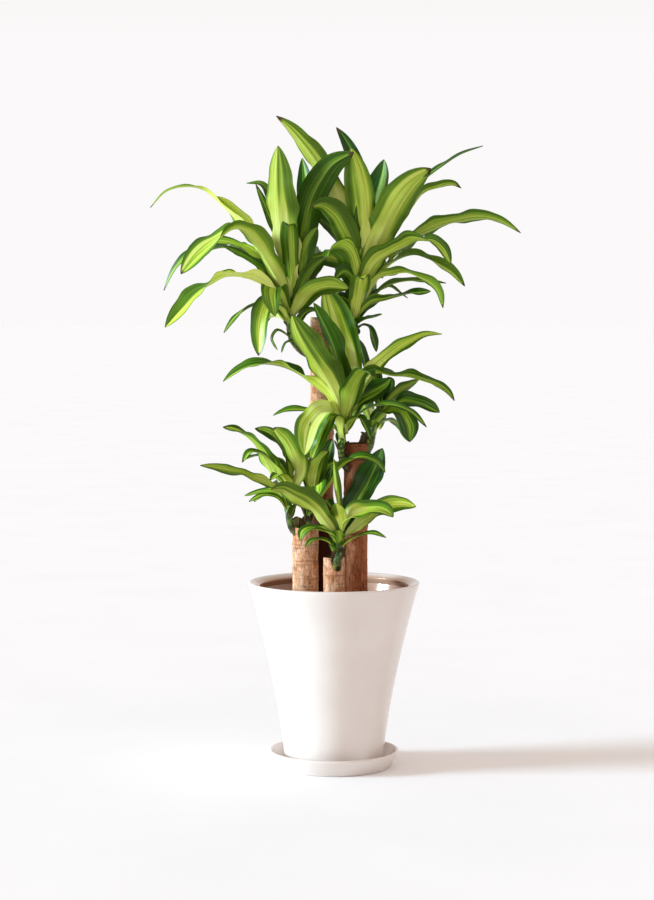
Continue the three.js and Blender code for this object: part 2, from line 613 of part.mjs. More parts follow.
// The midrib of an arched leaf: it starts at one rise and ends at the other, in one heading.
function archedPoints(foot, heading, length, riseFoot, riseTip) {
  const points = [foot];
  const level = new THREE.Vector3(1, 0, 0).applyAxisAngle(new THREE.Vector3(0, 0, 1), heading);
  const span = length / (ARCH_POINTS - 1);
  for (let i = 1; i < ARCH_POINTS; i += 1) {
    const rise = THREE.MathUtils.lerp(riseFoot, riseTip, (i - 0.5) / (ARCH_POINTS - 1));
    const next = points[i - 1].clone().addScaledVector(level, span * Math.cos(rise));
    next.z += span * Math.sin(rise);
    points.push(next);
  }
  return points;
}

function buildShoot({ stem, radius, leaves, arched }, room) {
  const midline = curveThrough(stem.map((point) => new THREE.Vector3(...point)));
  const grown = leaves.map(([place, width, turns, ...points], k) => {
    const route = [midline.getPointAt(place), ...points.map((point) => new THREE.Vector3(...point))];
    return buildBlade(route, width, turns, k * BLADE.phaseStep);
  });
  const behind = arched.map(([place, width, heading, length, riseFoot, riseTip], k) => {
    const [turn, from, to] = [heading, riseFoot, riseTip].map(THREE.MathUtils.degToRad);
    const route = archedPoints(midline.getPointAt(place), turn, length, from, to);
    return buildBlade(route, width, [0, 0, 0], (leaves.length + k) * BLADE.phaseStep);
  });
  const whole = [...grown, ...behind].reduce((shoot, blade) => shoot.add(blade), buildStem(midline, radius));
  return largestPiece(whole.subtract(room));
}

// ---- The plant in its pot ----

const plant = new THREE.Group();
const rooms = Object.fromEntries(Object.entries(CANES).map(([name, cane]) => [name, buildCane(cane, GAP)]));

plant.add(meshOf('saucer', buildSaucer(), glaze));
plant.add(meshOf('pot', buildPot(), glaze));
plant.add(meshOf('soil', buildSoil(Object.values(rooms)), earth));
for (const [name, cane] of Object.entries(CANES)) {
  plant.add(meshOf(`cane_${name}`, buildCane(cane), bark));
}
for (const [name, shoot] of Object.entries(SHOOTS)) {
  plant.add(meshOf(`shoot_${name}`, buildShoot(shoot, rooms[SHOOT_CANE[name]]), leaf));
}

export default plant;
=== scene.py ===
"""Potted corn plant: four cut canes with seven leafy shoots, in a glazed pot on its saucer.

Metres, +Z up, the plant's front to -Y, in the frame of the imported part. The middle of the saucer's
base is the origin. Routes and widths of the leaves are in millimetres, as a grower would note them.
"""

import math
import random
from functools import partial

import bpy
import numpy as np
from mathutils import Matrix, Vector, noise


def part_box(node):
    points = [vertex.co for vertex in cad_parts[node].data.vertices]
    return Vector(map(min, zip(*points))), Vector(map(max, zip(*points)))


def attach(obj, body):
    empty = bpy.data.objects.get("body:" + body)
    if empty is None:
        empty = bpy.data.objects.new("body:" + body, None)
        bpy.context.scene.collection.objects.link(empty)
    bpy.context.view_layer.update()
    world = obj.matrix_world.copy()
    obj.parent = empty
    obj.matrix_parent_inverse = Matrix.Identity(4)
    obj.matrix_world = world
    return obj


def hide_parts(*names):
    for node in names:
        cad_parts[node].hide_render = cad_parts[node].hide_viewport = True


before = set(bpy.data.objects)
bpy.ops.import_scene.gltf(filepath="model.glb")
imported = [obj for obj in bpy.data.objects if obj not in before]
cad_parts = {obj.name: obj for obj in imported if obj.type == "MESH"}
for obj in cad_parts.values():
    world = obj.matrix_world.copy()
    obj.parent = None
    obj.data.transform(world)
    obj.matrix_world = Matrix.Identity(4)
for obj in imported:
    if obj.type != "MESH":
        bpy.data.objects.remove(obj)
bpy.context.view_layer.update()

MM = 0.001

# ---- Camera and light ----

CAMERA_PLACE = (-0.0122, -3.8, 0.797)
CAMERA_DIP = 3.62  # degrees that it looks down
CAMERA_LENS = 87.2

KEY_SIDE = 9  # degrees that the window light stands in front of the plant's left
KEY_RISE = 12  # and its height above the level, also in degrees
KEY_SPREAD = 18  # how wide it looks, which softens the shadows
KEY_POWER = 5.8
KEY_AWAY = 5  # where its lamp hangs, which changes nothing for light from afar
KEY_COLOUR = "d5f0ff"
WALL_COLOUR = "fbf9f9"  # the white room at the floor's level
AIR_COLOUR = "e2d5cd"  # and overhead
WALL_TOP = 0.12  # where the wall's white ends and the air overhead begins, as sines of the rise
AIR_FROM = 0.42
FLOOR_RADIUS = 120
FARTHEST_SEEN = 500

# ---- Pot, saucer and soil ----

ROUND_SIDES = 128
POT_FOOT = 0.58  # the foot's radius, as a share of the rim's
POT_FLARE = 1.4  # power of the wall's outward sweep
POT_WALL = 8 * MM
POT_FLOOR = 12 * MM
POT_FOOT_BEVEL = 3 * MM
POT_LIP = 18 * MM  # how far below the rim the wall's sweep ends
LIP_WIDTH = 20 * MM  # the lip slopes inwards from the rim for this much
LIP_DROP = 6 * MM  # and down by this much
LIP_CROWN = 1 / 3  # its middle lies this share of that drop below the rim
LIP_ROUNDS = (3.5 * MM, 2 * MM)  # radii of its outer and inner edge
LIP_INNER_FROM = 110  # where the inner edge's round begins, in degrees above the level
POT_OUTER_RINGS = 26  # faces up the wall, outside and inside
POT_INNER_RINGS = 18
DRAIN_RADIUS = 14 * MM
SAUCER_BASE = 99 / 114  # the base's radius, as a share of the rim's
SAUCER_WALL = 5.5 * MM
SAUCER_FLOOR = 8.7 * MM
SAUCER_FOOT_BEVEL = 1.5 * MM
SAUCER_CORNER = 2 * MM  # width of the bevel between its wall and its floor, which is half as high
GLAZE_SHARP = 40  # edges of the glazed pieces sharper than this stay sharp, in degrees
ARC_STEPS = 8  # faces round a lip
TOLERANCE = 1 * MM  # how near a point lies to a wall to be on it

SOIL_GAP = 0.3 * MM
SOIL_EDGE = 0.99  # height of its surface at the pot's wall, as a share of its height in the middle
SOIL_STEP = 4 * MM  # between the rings of its surface
SOIL_LUMPS = 2.4 * MM  # height of its unevenness
SOIL_LUMP_PITCH = 19 * MM
SOIL_FINE_SHARE = 0.35  # the share of that height in lumps a quarter as wide
SOIL_RINGS = 12  # faces down its side
SOIL_SHARP = 60
HOLE_SIDES = 48
HOLE_ABOVE = 20 * MM  # how far the holes for the canes are cut above the surface
CRUMBS = 420
CRUMB_SIZES = (1.2 * MM, 3.4 * MM)
CRUMB_SHRINK = 0.5  # the smallest are this share of those sizes
CRUMB_LENGTHS = (0.8, 1.3)  # length and height of a crumb, as shares of its width
CRUMB_HEIGHT = 0.8
CRUMB_RISE = 0.2  # the share of its size by which its middle stands above the soil
CRUMB_SHAPES = 4
CRUMB_BREAK = 0.6  # how rough the broken lumps are
CRUMB_EDGE = 3 * MM  # bare strip along the pot's wall

# ---- Canes ----

CANE_SIDES = 72
CANE_STEP = 3 * MM  # between the rings of its surface
SCAR_PITCH = 58 * MM  # between the ring scars of old leaves
SCAR_RISE = 1.1 * MM
SCAR_SLOPE = 7 * MM  # how far below its crest a scar begins
TOP_SCAR = 0.45  # the last scar's depth below the cut, as a share of the pitch
CUT_BEVEL = 2 * MM
CRACK_DEPTH = 0.7 * MM
CRACK_WIDTH = 6 * MM  # between two cracks round the cane
CRACK_LENGTH = 20 * MM
CRACK_THINNESS = 11
BARK_SWELL = 0.7 * MM
BARK_DEPTH = 0.9  # the share of the radius past which a point lies on the bark and not in the cut
BARK_SHARP = 50
# Painted shade on each cane's bark, for the shadows that the other canes and the leaves cast on it: how
# light the bark is painted below one height and above another, in millimetres.
CANE_PAINTED_SHADE = {
    "left": (1.0, 0.95, 320, 420),
    "right": (0.62, 0.5, 320, 560),
    "tall": (0.3, 0.95, 430, 520),
    "small": (0.95, 0.85, 320, 370),
}

# ---- Leaves ----

BLADE_ACROSS = 8  # faces across a blade, before its rib is cut in
BLADE_ALONG = 60
RIB_WIDTH = 0.09  # width of the midrib's channel, as a share of half the blade
RIB_DROP = 0.7  # depth of that channel, in millimetres
BLADE_THICKNESS = 1.1 * MM
EDGE_THICKNESS = 0.55  # as a share of the rib's

FOOT_WIDTH = 0.34  # width where the blade leaves its stem, as a share of its full width
WIDEST = 0.6  # where along the blade it is widest
FOOT_CURVE = 1.3  # how the outline swells from the foot
TIP_CURVE = 2.6  # how late the outline draws in towards the tip
TIP_POINT = 0.8  # and how pointed it ends
TIP_WIDTH = 1.0
FOLD = 0.36  # how steeply the two halves fold up at the foot
FOLD_TIP = 0.3  # and at the tip
FOLD_ROUNDING = 1.4  # how evenly the fold is spread over the blade
FOLD_MIDDLE = 0.45  # the share of the fold that lies below the blade's route
CLASP = 0.5  # how much further the foot's margins rise, to clasp the stem
CLASP_LENGTH = 0.16
DRY_TIPS = (0.01, 0.05)  # the dried part at a tip, as a share of the blade's length
RIPPLE = 5.5  # height of the waves along the margins, in millimetres, of a blade this wide or wider:
RIPPLE_WIDTH = 40
RIPPLE_END = 1.15  # the waves die out at 1 / RIPPLE_END of the blade's length
RIPPLE_SHAPE = 0.7  # how soon they swell from the foot
WAVE = 75  # length of one wave, in millimetres
CRIMP = 1.3  # height of the short waves between them, in millimetres, of a blade as wide
CRIMP_LENGTH = 31
PHASE_STEP = 0.37  # each blade's waves start this share of a wave after the last one's
PHASE_ACROSS = 0.35  # and the right margin's after the left's
ARCHED_STRIPES = (0.2, 0.7)  # how broad the stripes of the arched leaves are
SHORTEST_HEADING = 6  # a midrib that runs less than this sideways takes its heading from its tip
BACKWARD = 0.15  # a blade whose side points further back than this turns the other way
ROUTE_STEPS = 24  # steps from one point of a route to the next
ARCH_POINTS = 5

STEM_SIDES = 16
STEM_STEP = 2  # between the rings of a stem's surface, in millimetres
NODE_PITCH = 8  # between the rings that fallen leaves left on a stem
NODE_RISE = 0.07
SHOOT_SHARP = 50
SHEATHS = 7  # leaf feet that clasp each stem
SHEATH_FROM = 0.08  # place of the lowest one on the stem, and the share of the stem that they cover
SHEATH_SPAN = 0.57
SHEATH_TURN = 137.5  # how far round the stem each stands from the last, in degrees
SHEATH_RISES = (76, 84)  # rises at the foot and at the tip, in degrees
SHEATH_TIP_RISES = (45, 75)
SHEATH_LENGTHS = (24, 40)
SHEATH_WIDTHS = (2.6, 3.4)  # as shares of the stem's radius
SHEATH_STRIPES = (0.1, 0.5)
SHEATH_DRY = (0.7, 0.85, 0.5, 0.06)  # the dried share of the lowest, of the next ones and of the rest
SCALES = 4  # dried scales at the foot of each shoot
SCALE_FROM = 0.12  # place of the lowest one on the stem, and the step to the next
SCALE_APART = 0.07
SCALE_LENGTHS = (16, 30)
SCALE_RISE = 78
SCALE_TIP_RISES = (20, 60)
SCALE_WIDTHS = (9, 13)
SCALE_STRIPE = 0.4
SCALE_DRY = (0.35, 0.8)
FLAT = (0, 0, 0)  # turns of a blade that isn't turned

# Every shoot has a stem (its midline's points (x, y, z) and its radius at the foot and the tip) and two
# kinds of leaf. A row of leaves is (place, width, stripe, pale, turns, *points): the place on the stem
# from 0 at the foot to 1 at the tip, the blade's width, how broad its yellow stripe is, how pale its
# lower half is, how far its upper face turns to the front at its foot, middle and tip in degrees (to the
# back below 0), and the points of its midrib. A row of arched leaves, which grow at the back of the
# shoot, is (place, width, heading, length, rise at the foot, rise at the tip), with the heading counted
# from +X towards +Y and the rise from the level. Lengths are in millimetres.
# The stripe and the pale of each leaf are partly its variegation and partly painted light and shade: they
# were set to how light or dark each leaf looks where it hangs.
SHOOTS = {
    "top_left": {
        "stem": ((-37, 36, 720), (-56, 30, 730), (-73, 20, 752), (-77, 12, 787), (-71, 10, 818),
                 (-61, 10, 853), (-54, 10, 884)),
        "radius": (7.5, 5),
        "leaves": (
            (0.62, 64, 0.6, 0.9, (0, 0, 0), (-81, -4, 884), (-91, -14, 964), (-95, -22, 1024),
             (-96, -30, 1082)),
            (0.7, 50, 0.15, 0.1, (-40, -50, -60), (-57, 0, 884), (-52, -3, 935), (-42, -8, 985),
             (-24, -14, 1023), (-2, -22, 1051), (34, -32, 1071)),
            (0.66, 32, 0.3, 0.2, (0, 0, 0), (-75, -14, 883), (-78, -26, 924), (-78, -46, 949),
             (-79, -66, 943)),
            (0.8, 28, 0.25, 0.1, (-40, -35, -30), (-54, -8, 873), (-45, -14, 913), (-29, -22, 943)),
            (0.58, 60, 0.75, 0.25, (-50, -10, 46), (-108, -6, 877), (-130, -16, 916), (-152, -26, 941),
             (-174, -34, 945), (-199, -44, 928), (-232, -56, 899), (-262, -66, 862)),
            (0.56, 20, 0.8, 1, (-30, -14, 10), (-122, 22, 905), (-154, 25, 945), (-180, 27, 971),
             (-204, 29, 994), (-227, 31, 1012), (-257, 33, 1018), (-294, 35, 1009), (-322, 36, 980)),
            (0.5, 24, 0.45, 0.5, (30, 30, 35), (-126, 30, 881), (-165, 40, 914), (-209, 48, 922),
             (-250, 54, 905), (-280, 58, 876), (-301, 62, 835)),
            (0.48, 32, 0.3, 0.15, (40, 35, 35), (-104, 6, 851), (-124, 8, 872), (-145, 10, 887),
             (-169, 11, 901), (-195, 12, 913)),
            (0.46, 44, 0.6, 0.8, (-55, -5, 50), (-115, 0, 840), (-137, -10, 856), (-163, -18, 863),
             (-190, -24, 862), (-212, -30, 850), (-236, -38, 835), (-265, -48, 802), (-290, -56, 771)),
            (0.5, 34, 0.5, 0.2, (0, 5, 10), (-93, -30, 833), (-106, -62, 841), (-107, -92, 821),
             (-100, -112, 790)),
            (0.42, 33, 0.6, 0.15, (10, 40, 40), (-94, -12, 806), (-115, -26, 816), (-127, -38, 785),
             (-130, -46, 722)),
            (0.4, 18, 0.4, 0.4, (-30, 10, 40), (-111, 4, 809), (-134, 2, 812), (-158, 0, 801),
             (-176, -1, 783), (-192, -2, 761)),
            (0.24, 12, 0.3, 0.2, (0, 0, 0), (-87, 10, 762), (-99, 4, 766), (-108, 0, 752),
             (-99, -2, 731)),
            (0.14, 12, 0.2, 0.2, (0, 0, 0), (-73, 18, 746), (-84, 12, 745), (-92, 8, 727)),
            (0.46, 38, 0.5, 0.5, (-30, -45, -40), (-52, -14, 819), (-35, -26, 835), (-10, -32, 843),
             (26, -36, 838)),
            (0.3, 15, 0.1, 0, (-30, -30, -30), (-52, -4, 795), (-38, -12, 802), (-26, -18, 795)),
            (0.56, 42, 0.9, 1, (-45, -55, -50), (-126, 30, 905), (-151, 34, 939), (-172, 38, 967),
             (-189, 40, 986), (-208, 41, 1000)),
            (0.54, 32, 0.25, 0.1, (-40, -40, -30), (-50, -4, 846), (-35, -10, 873), (-12, -16, 894)),
            (0.6, 18, 0.4, 0.3, (30, 30, 30), (-91, 22, 905), (-114, 30, 968), (-137, 36, 1021)),
            (0.58, 22, 0.3, 0.5, (0, 0, 0), (-89, 34, 923), (-109, 48, 993), (-127, 56, 1022),
             (-154, 62, 1024)),
            (0.72, 36, 0.3, 0.1, (0, 0, 0), (-58, 28, 884), (-51, 40, 975), (-51, 46, 1028),
             (-56, 52, 1067)),
        ),
        "arched": (
            (0.4, 28, 120, 155, 35, -55),
            (0.48, 34, 104, 230, 50, -50),
            (0.56, 40, 140, 280, 70, -25),
            (0.64, 40, 80, 260, 65, -30),
            (0.72, 36, 104, 250, 75, 5),
            (0.82, 32, 88, 190, 80, 35),
        ),
    },
    "top_right": {
        "stem": ((-14, 36, 681), (7, 32, 699), (26, 26, 731), (33, 20, 769), (38, 16, 811),
                 (47, 14, 853), (54, 14, 891)),
        "radius": (10, 6),
        "leaves": (
            (0.8, 42, 0.7, 0.9, (-60, -60, -40), (28, 12, 922), (2, 12, 991), (-26, 10, 1055),
             (-54, 8, 1093), (-76, 4, 1117), (-100, 0, 1136)),
            (0.78, 30, 0.08, 0, (20, 20, 10), (58, 34, 932), (52, 43, 1002), (35, 52, 1067),
             (19, 56, 1100), (4, 58, 1121)),
            (0.84, 50, 0.6, 0.5, (0, 0, 0), (50, 6, 922), (46, -4, 991), (38, -12, 1038),
             (29, -20, 1079)),
            (0.74, 56, 0.3, 0.2, (0, 0, 0), (63, 46, 932), (70, 60, 994), (83, 68, 1040), (88, 72, 1066)),
            (0.72, 62, 0.7, 0.45, (-55, -60, -50), (70, 8, 910), (90, 4, 951), (109, 0, 987),
             (130, -3, 1015), (149, -5, 1032), (168, -6, 1045)),
            (0.7, 30, 0.5, 0.5, (-35, 0, -50), (98, 32, 923), (126, 42, 969), (156, 50, 1009),
             (176, 53, 1017), (197, 56, 1023), (211, 58, 1023), (224, 60, 1015)),
            (0.64, 34, 0.5, 0.3, (0, -40, -34), (94, 22, 884), (122, 27, 919), (150, 30, 936),
             (173, 31, 947), (196, 30, 955), (220, 29, 960), (246, 27, 964), (271, 25, 963),
             (295, 23, 955), (326, 20, 935)),
            (0.6, 46, 0.5, 0.45, (-80, -25, 50), (68, -6, 882), (92, -12, 901), (117, -18, 914),
             (136, -24, 923), (155, -29, 924), (172, -33, 920), (187, -37, 906), (201, -40, 879)),
            (0.58, 30, 0.5, 0.5, (-50, -5, -55), (87, 14, 874), (115, 14, 894), (141, 13, 900),
             (164, 11, 893), (188, 8, 881), (209, 6, 866), (228, 4, 842)),
            (0.54, 28, 0.45, 0.5, (-55, -8, -50), (76, -8, 858), (100, -16, 865), (126, -24, 868),
             (146, -29, 860), (167, -32, 849), (181, -34, 833), (188, -35, 804)),
            (0.54, 16, 0.2, 0.1, (-30, -30, -30), (86, 24, 841), (109, 30, 850), (140, 34, 854),
             (197, 38, 848)),
            (0.5, 28, 0.25, 0.2, (-60, -12, 60), (63, -4, 813), (90, -12, 821), (114, -17, 828),
             (133, -20, 832), (149, -23, 832), (167, -26, 833)),
            (0.52, 14, 0.15, 0, (-30, -15, 0), (74, 30, 835), (98, 36, 843), (116, 40, 832),
             (130, 42, 822)),
            (0.48, 20, 0.2, 0.1, (-20, 0, 20), (54, 4, 787), (68, 0, 790), (83, -4, 794)),
            (0.4, 18, 0.2, 0.1, (0, 15, 30), (49, 8, 776), (61, 2, 773), (69, -4, 752), (74, -6, 728)),
            (0.5, 36, 0.5, 0.5, (0, 0, 0), (42, -14, 825), (46, -30, 850), (48, -44, 860),
             (49, -58, 853)),
            (0.64, 42, 0.5, 0.4, (-45, -40, 20), (31, -6, 877), (21, -18, 902), (7, -30, 910),
             (-9, -42, 905), (-15, -50, 886)),
            (0.72, 42, 0.45, 0.45, (-50, -50, -25), (31, -10, 911), (19, -20, 943), (2, -32, 970),
             (-19, -44, 982), (-39, -54, 977)),
            (0.7, 28, 0.25, 0.1, (30, 30, 30), (32, 30, 930), (18, 36, 986), (5, 42, 1033)),
            (0.76, 24, 0.3, 0.5, (0, 0, 0), (35, 4, 936), (28, 0, 998), (22, -4, 1049)),
            (0.6, 30, 0.2, 0.1, (-35, -40, -40), (28, -8, 859), (15, -18, 867), (0, -28, 854)),
            (0.58, 30, 0.45, 0.4, (-40, -45, -40), (23, 14, 874), (-9, 18, 889), (-51, 26, 886)),
            (0.66, 44, 0.05, 0, (-40, -45, -45), (23, 16, 910), (4, 20, 938), (-16, 24, 957),
             (-38, 26, 968)),
            (0.4, 28, 0.05, 0, (-35, -35, -20), (28, 8, 809), (16, 12, 821), (4, 14, 818), (-5, 14, 802)),
            (0.74, 24, 0.2, 0.1, (0, 0, 0), (80, 26, 923), (119, 20, 988), (155, 8, 1028),
             (183, -2, 1049), (218, -7, 1071), (257, -10, 1084)),
            (0.3, 20, 0.2, 0, (0, 15, 30), (35, 29, 751), (46, 25, 745), (53, 21, 720), (58, 18, 690)),
        ),
        "arched": (
            (0.45, 30, 96, 200, 40, -55),
            (0.54, 38, 82, 270, 55, -45),
            (0.62, 42, 96, 280, 62, -35),
            (0.7, 38, 76, 230, 60, -40),
            (0.78, 38, 80, 270, 75, 10),
            (0.86, 32, 125, 180, 80, 45),
        ),
    },
    "middle": {
        "stem": ((31, -2, 515), (16, -14, 535), (12, -18, 563), (16, -20, 593), (21, -20, 622),
                 (24, -20, 645)),
        "radius": (6, 5),
        "leaves": (
            (0.72, 60, 0.5, 0.6, (-15, -15, -15), (7, -32, 652), (-17, -50, 699), (-43, -66, 739),
             (-60, -76, 768), (-71, -84, 793)),
            (0.8, 40, 0.12, 0.2, (0, 0, 0), (19, -28, 671), (5, -32, 732), (-16, -36, 780),
             (-35, -40, 813)),
            (0.76, 56, 0.7, 0.68, (0, 0, 0), (26, -8, 688), (16, -6, 748), (2, -5, 797), (-16, -4, 842)),
            (0.7, 46, 0.4, 0.36, (0, 0, 0), (28, -36, 645), (36, -50, 670), (46, -66, 691),
             (56, -82, 699), (66, -96, 689)),
            (0.68, 40, 0.4, 0.44, (-50, -14, -38), (35, -10, 662), (52, -11, 688), (75, -12, 696),
             (101, -12, 691), (127, -11, 689), (153, -10, 682), (179, -8, 672), (198, -7, 659),
             (210, -6, 643)),
            (0.68, 28, 0.65, 0.68, (40, 38, 12), (49, 4, 668), (68, 6, 699), (91, 9, 720), (114, 12, 736),
             (136, 14, 748), (159, 16, 758), (189, 18, 759)),
            (0.56, 50, 0.75, 0.6, (10, 30, 40), (0, -36, 623), (-17, -52, 630), (-40, -70, 606),
             (-51, -84, 553)),
            (0.46, 38, 0.5, 0.6, (10, 30, 40), (5, -34, 609), (-9, -50, 622), (-26, -68, 590),
             (-40, -78, 543)),
            (0.6, 38, 0.45, 0.44, (-80, 0, 36), (-5, -22, 646), (-23, -21, 665), (-40, -20, 679),
             (-59, -19, 693), (-82, -18, 704), (-109, -17, 710), (-137, -15, 709), (-158, -13, 702),
             (-175, -12, 692), (-193, -10, 677)),
            (0.54, 18, 0.4, 0.36, (28, 28, 30), (-24, -18, 624), (-52, -16, 629), (-78, -16, 629),
             (-94, -16, 624), (-106, -16, 618)),
            (0.52, 18, 0.3, 0.28, (-30, 20, 45), (41, -34, 621), (69, -44, 637), (100, -52, 639),
             (132, -58, 627), (159, -62, 600)),
            (0.54, 44, 0.3, 0.28, (30, 30, 30), (40, 2, 642), (66, 10, 659), (88, 16, 671),
             (100, 20, 682)),
            (0.5, 20, 0.3, 0.28, (0, 0, 20), (29, -30, 610), (45, -38, 616), (57, -44, 597),
             (64, -46, 575)),
        ),
        "arched": (
            (0.6, 36, 76, 240, 50, -45),
            (0.74, 34, 84, 230, 70, -5),
        ),
    },
    "middle_right": {
        "stem": ((42, 6, 542), (60, 8, 559), (67, 8, 584), (73, 8, 607), (82, 8, 624), (91, 8, 640)),
        "radius": (8, 5),
        "leaves": (
            (0.74, 30, 0.3, 0.36, (-45, -45, -40), (103, 14, 649), (123, 20, 662), (149, 26, 679)),
            (0.68, 34, 0.3, 0.36, (-30, 30, 50), (101, -4, 635), (118, -10, 644), (137, -16, 644),
             (158, -22, 638), (183, -28, 624)),
            (0.62, 44, 0.3, 0.28, (0, 20, 40), (94, -10, 627), (114, -22, 626), (126, -32, 604),
             (131, -38, 573)),
            (0.84, 24, 0.1, 0.28, (0, 0, 0), (95, 22, 655), (99, 34, 669), (95, 46, 683)),
        ),
        "arched": (
            (0.5, 28, 60, 130, 40, -50),
            (0.58, 30, 85, 180, 40, -50),
            (0.66, 30, 50, 160, 55, -40),
            (0.8, 26, 99, 150, 72, 0),
        ),
    },
    "left_outer": {
        "stem": ((-56, -8, 403), (-73, -10, 419), (-79, -12, 442), (-78, -12, 465), (-73, -10, 484),
                 (-68, -8, 505)),
        "radius": (6, 4.5),
        "leaves": (
            (0.6, 26, 0.55, 0.52, (20, 34, 34), (-98, -16, 489), (-118, -19, 501), (-139, -22, 508),
             (-160, -25, 519), (-184, -28, 523), (-210, -30, 529), (-232, -32, 532)),
            (0.74, 38, 0.55, 0.4, (-60, -45, 30), (-89, -8, 501), (-103, -7, 515), (-114, -6, 536),
             (-126, -6, 557), (-139, -6, 573), (-153, -6, 585), (-171, -6, 593), (-194, -6, 597)),
            (0.68, 22, 0.5, 0.44, (-45, 0, 40), (-99, -22, 527), (-116, -30, 546), (-133, -36, 557),
             (-147, -41, 556), (-159, -44, 538)),
            (0.8, 26, 0.4, 0.36, (-40, -30, 20), (-79, 10, 537), (-91, 14, 561), (-103, 18, 578),
             (-119, 22, 588), (-139, 24, 593)),
            (0.84, 44, 0.65, 0.55, (-55, -55, -45), (-61, -14, 522), (-68, -18, 545), (-76, -22, 565),
             (-88, -28, 583), (-104, -34, 598)),
            (0.72, 22, 0.5, 0.52, (-20, 0, 20), (-82, -26, 506), (-95, -44, 519), (-110, -62, 509)),
            (0.54, 14, 0.45, 0.44, (30, 30, 30), (-101, 0, 483), (-126, 4, 484), (-157, 8, 476)),
            (0.48, 14, 0.45, 0.44, (30, 30, 30), (-97, -18, 474), (-123, -24, 480), (-148, -30, 469)),
        ),
        "arched": (
            (0.5, 24, 117, 150, 40, -35),
            (0.6, 28, 100, 180, 45, -45),
            (0.68, 28, 102, 170, 58, -30),
            (0.78, 26, 138, 150, 80, -30),
        ),
    },
    "left_inner": {
        "stem": ((-49, -8, 406), (-46, -10, 428), (-44, -12, 451), (-38, -12, 472), (-33, -12, 493)),
        "radius": (6, 4.5),
        "leaves": (
            (0.8, 34, 0.5, 0.6, (-40, -40, -30), (-31, -16, 519), (-23, -22, 544), (-10, -30, 558)),
            (0.76, 30, 0.35, 0.28, (30, 30, 30), (-24, 8, 517), (-12, 14, 552), (-3, 18, 575)),
            (0.62, 42, 0.4, 0.28, (0, 5, 10), (-33, -34, 491), (-33, -56, 501), (-32, -80, 477)),
            (0.4, 28, 0.4, 0.36, (0, 5, 10), (-26, -24, 462), (-14, -34, 473), (0, -40, 457)),
            (0.56, 28, 0.4, 0.44, (-20, 6, 45), (-14, -26, 492), (7, -40, 528), (26, -48, 544),
             (46, -54, 550), (67, -58, 545), (79, -60, 536), (88, -62, 522)),
            (0.68, 36, 0.3, 0.28, (30, 30, 30), (-21, 2, 507), (-7, 4, 525), (7, 4, 535)),
        ),
        "arched": (
            (0.5, 24, 114, 110, 50, -40),
            (0.74, 22, 128, 80, 75, 30),
        ),
    },
    "front": {
        "stem": ((4, -46, 346), (5, -58, 365), (7, -62, 386), (10, -62, 407), (12, -62, 426)),
        "radius": (8, 4.5),
        "leaves": (
            (0.74, 44, 0.6, 0.48, (-40, -42, -42), (-10, -70, 435), (-29, -77, 460), (-48, -83, 476),
             (-69, -89, 488), (-89, -95, 498), (-108, -100, 496)),
            (0.62, 26, 0.45, 0.44, (-30, 10, 40), (-7, -70, 420), (-24, -80, 427), (-41, -88, 429),
             (-53, -92, 423), (-58, -94, 408)),
            (0.52, 14, 0.4, 0.44, (10, 15, 20), (-10, -66, 404), (-28, -70, 409), (-41, -74, 405),
             (-50, -78, 394)),
            (0.86, 13, 0.5, 0.52, (0, 0, 0), (10, -66, 457), (6, -70, 496), (3, -72, 523), (0, -74, 546)),
            (0.78, 40, 0.6, 0.68, (35, 38, 40), (22, -67, 444), (36, -71, 455), (55, -77, 461),
             (73, -83, 463), (90, -88, 458), (101, -92, 448)),
            (0.72, 36, 0.65, 0.68, (35, 42, 42), (38, -56, 429), (58, -56, 444), (79, -57, 458),
             (98, -58, 465), (117, -60, 467), (141, -62, 463)),
            (0.56, 14, 0.35, 0.44, (20, 20, 25), (27, -66, 407), (48, -72, 416), (68, -78, 419),
             (89, -84, 412)),
            (0.82, 52, 0.12, 0.24, (30, 30, 20), (34, -46, 464), (57, -34, 501), (73, -24, 535),
             (84, -16, 561)),
            (0.9, 26, 0.6, 0.76, (0, 0, 0), (8, -74, 448), (3, -84, 471)),
        ),
        "arched": (
            (0.6, 24, 100, 65, 55, -10),
        ),
    },
}


# ---- Small tools ----


def linear(code):
    """An sRGB hex colour, such as "c8d46a", as linear red, green, blue and alpha."""
    shares = [int(code[i : i + 2], 16) / 255 for i in (0, 2, 4)]
    return [s / 12.92 if s <= 0.04045 else ((s + 0.055) / 1.055) ** 2.4 for s in shares] + [1.0]


def add_node(tree, kind, inputs=None, stops=None, **settings):
    """Adds a node to a material. An input is a value or the output that feeds it; stops are a colour
    ramp's places and colours; settings are the node's own. Inputs that share one name go by number: a
    Mix node's factor is 0, its numbers are 2 and 3 and its colours 6 and 7."""
    node = tree.nodes.new("ShaderNode" + kind)
    for name, value in settings.items():
        setattr(node, name, value)
    for key, value in (inputs or {}).items():
        if isinstance(value, bpy.types.Node):
            value = value.outputs[0]
        if isinstance(value, bpy.types.NodeSocket):
            tree.links.new(value, node.inputs[key])
        else:
            node.inputs[key].default_value = value
    for i, (place, code) in enumerate(stops or ()):
        elements = node.color_ramp.elements
        if i == 0:
            elements.remove(elements[1])
            elements[0].position = place
        element = elements[0] if i == 0 else elements.new(place)
        element.color = linear(code)
    return node


def new_material(name):
    """An empty material, and the function that adds a node to it."""
    material = bpy.data.materials.new(name)
    material.use_nodes = True
    material.node_tree.nodes.clear()
    return material, partial(add_node, material.node_tree)


def pick_only(*pieces):
    """Selects these objects and no other, with the first one active."""
    bpy.ops.object.select_all(action="DESELECT")
    for piece in pieces:
        piece.select_set(True)
    bpy.context.view_layer.objects.active = pieces[0]


def start_edit():
    """Edit mode on the new primitive, which is selected all over."""
    bpy.ops.object.mode_set(mode="EDIT")
    bpy.ops.mesh.select_mode(type="EDGE")


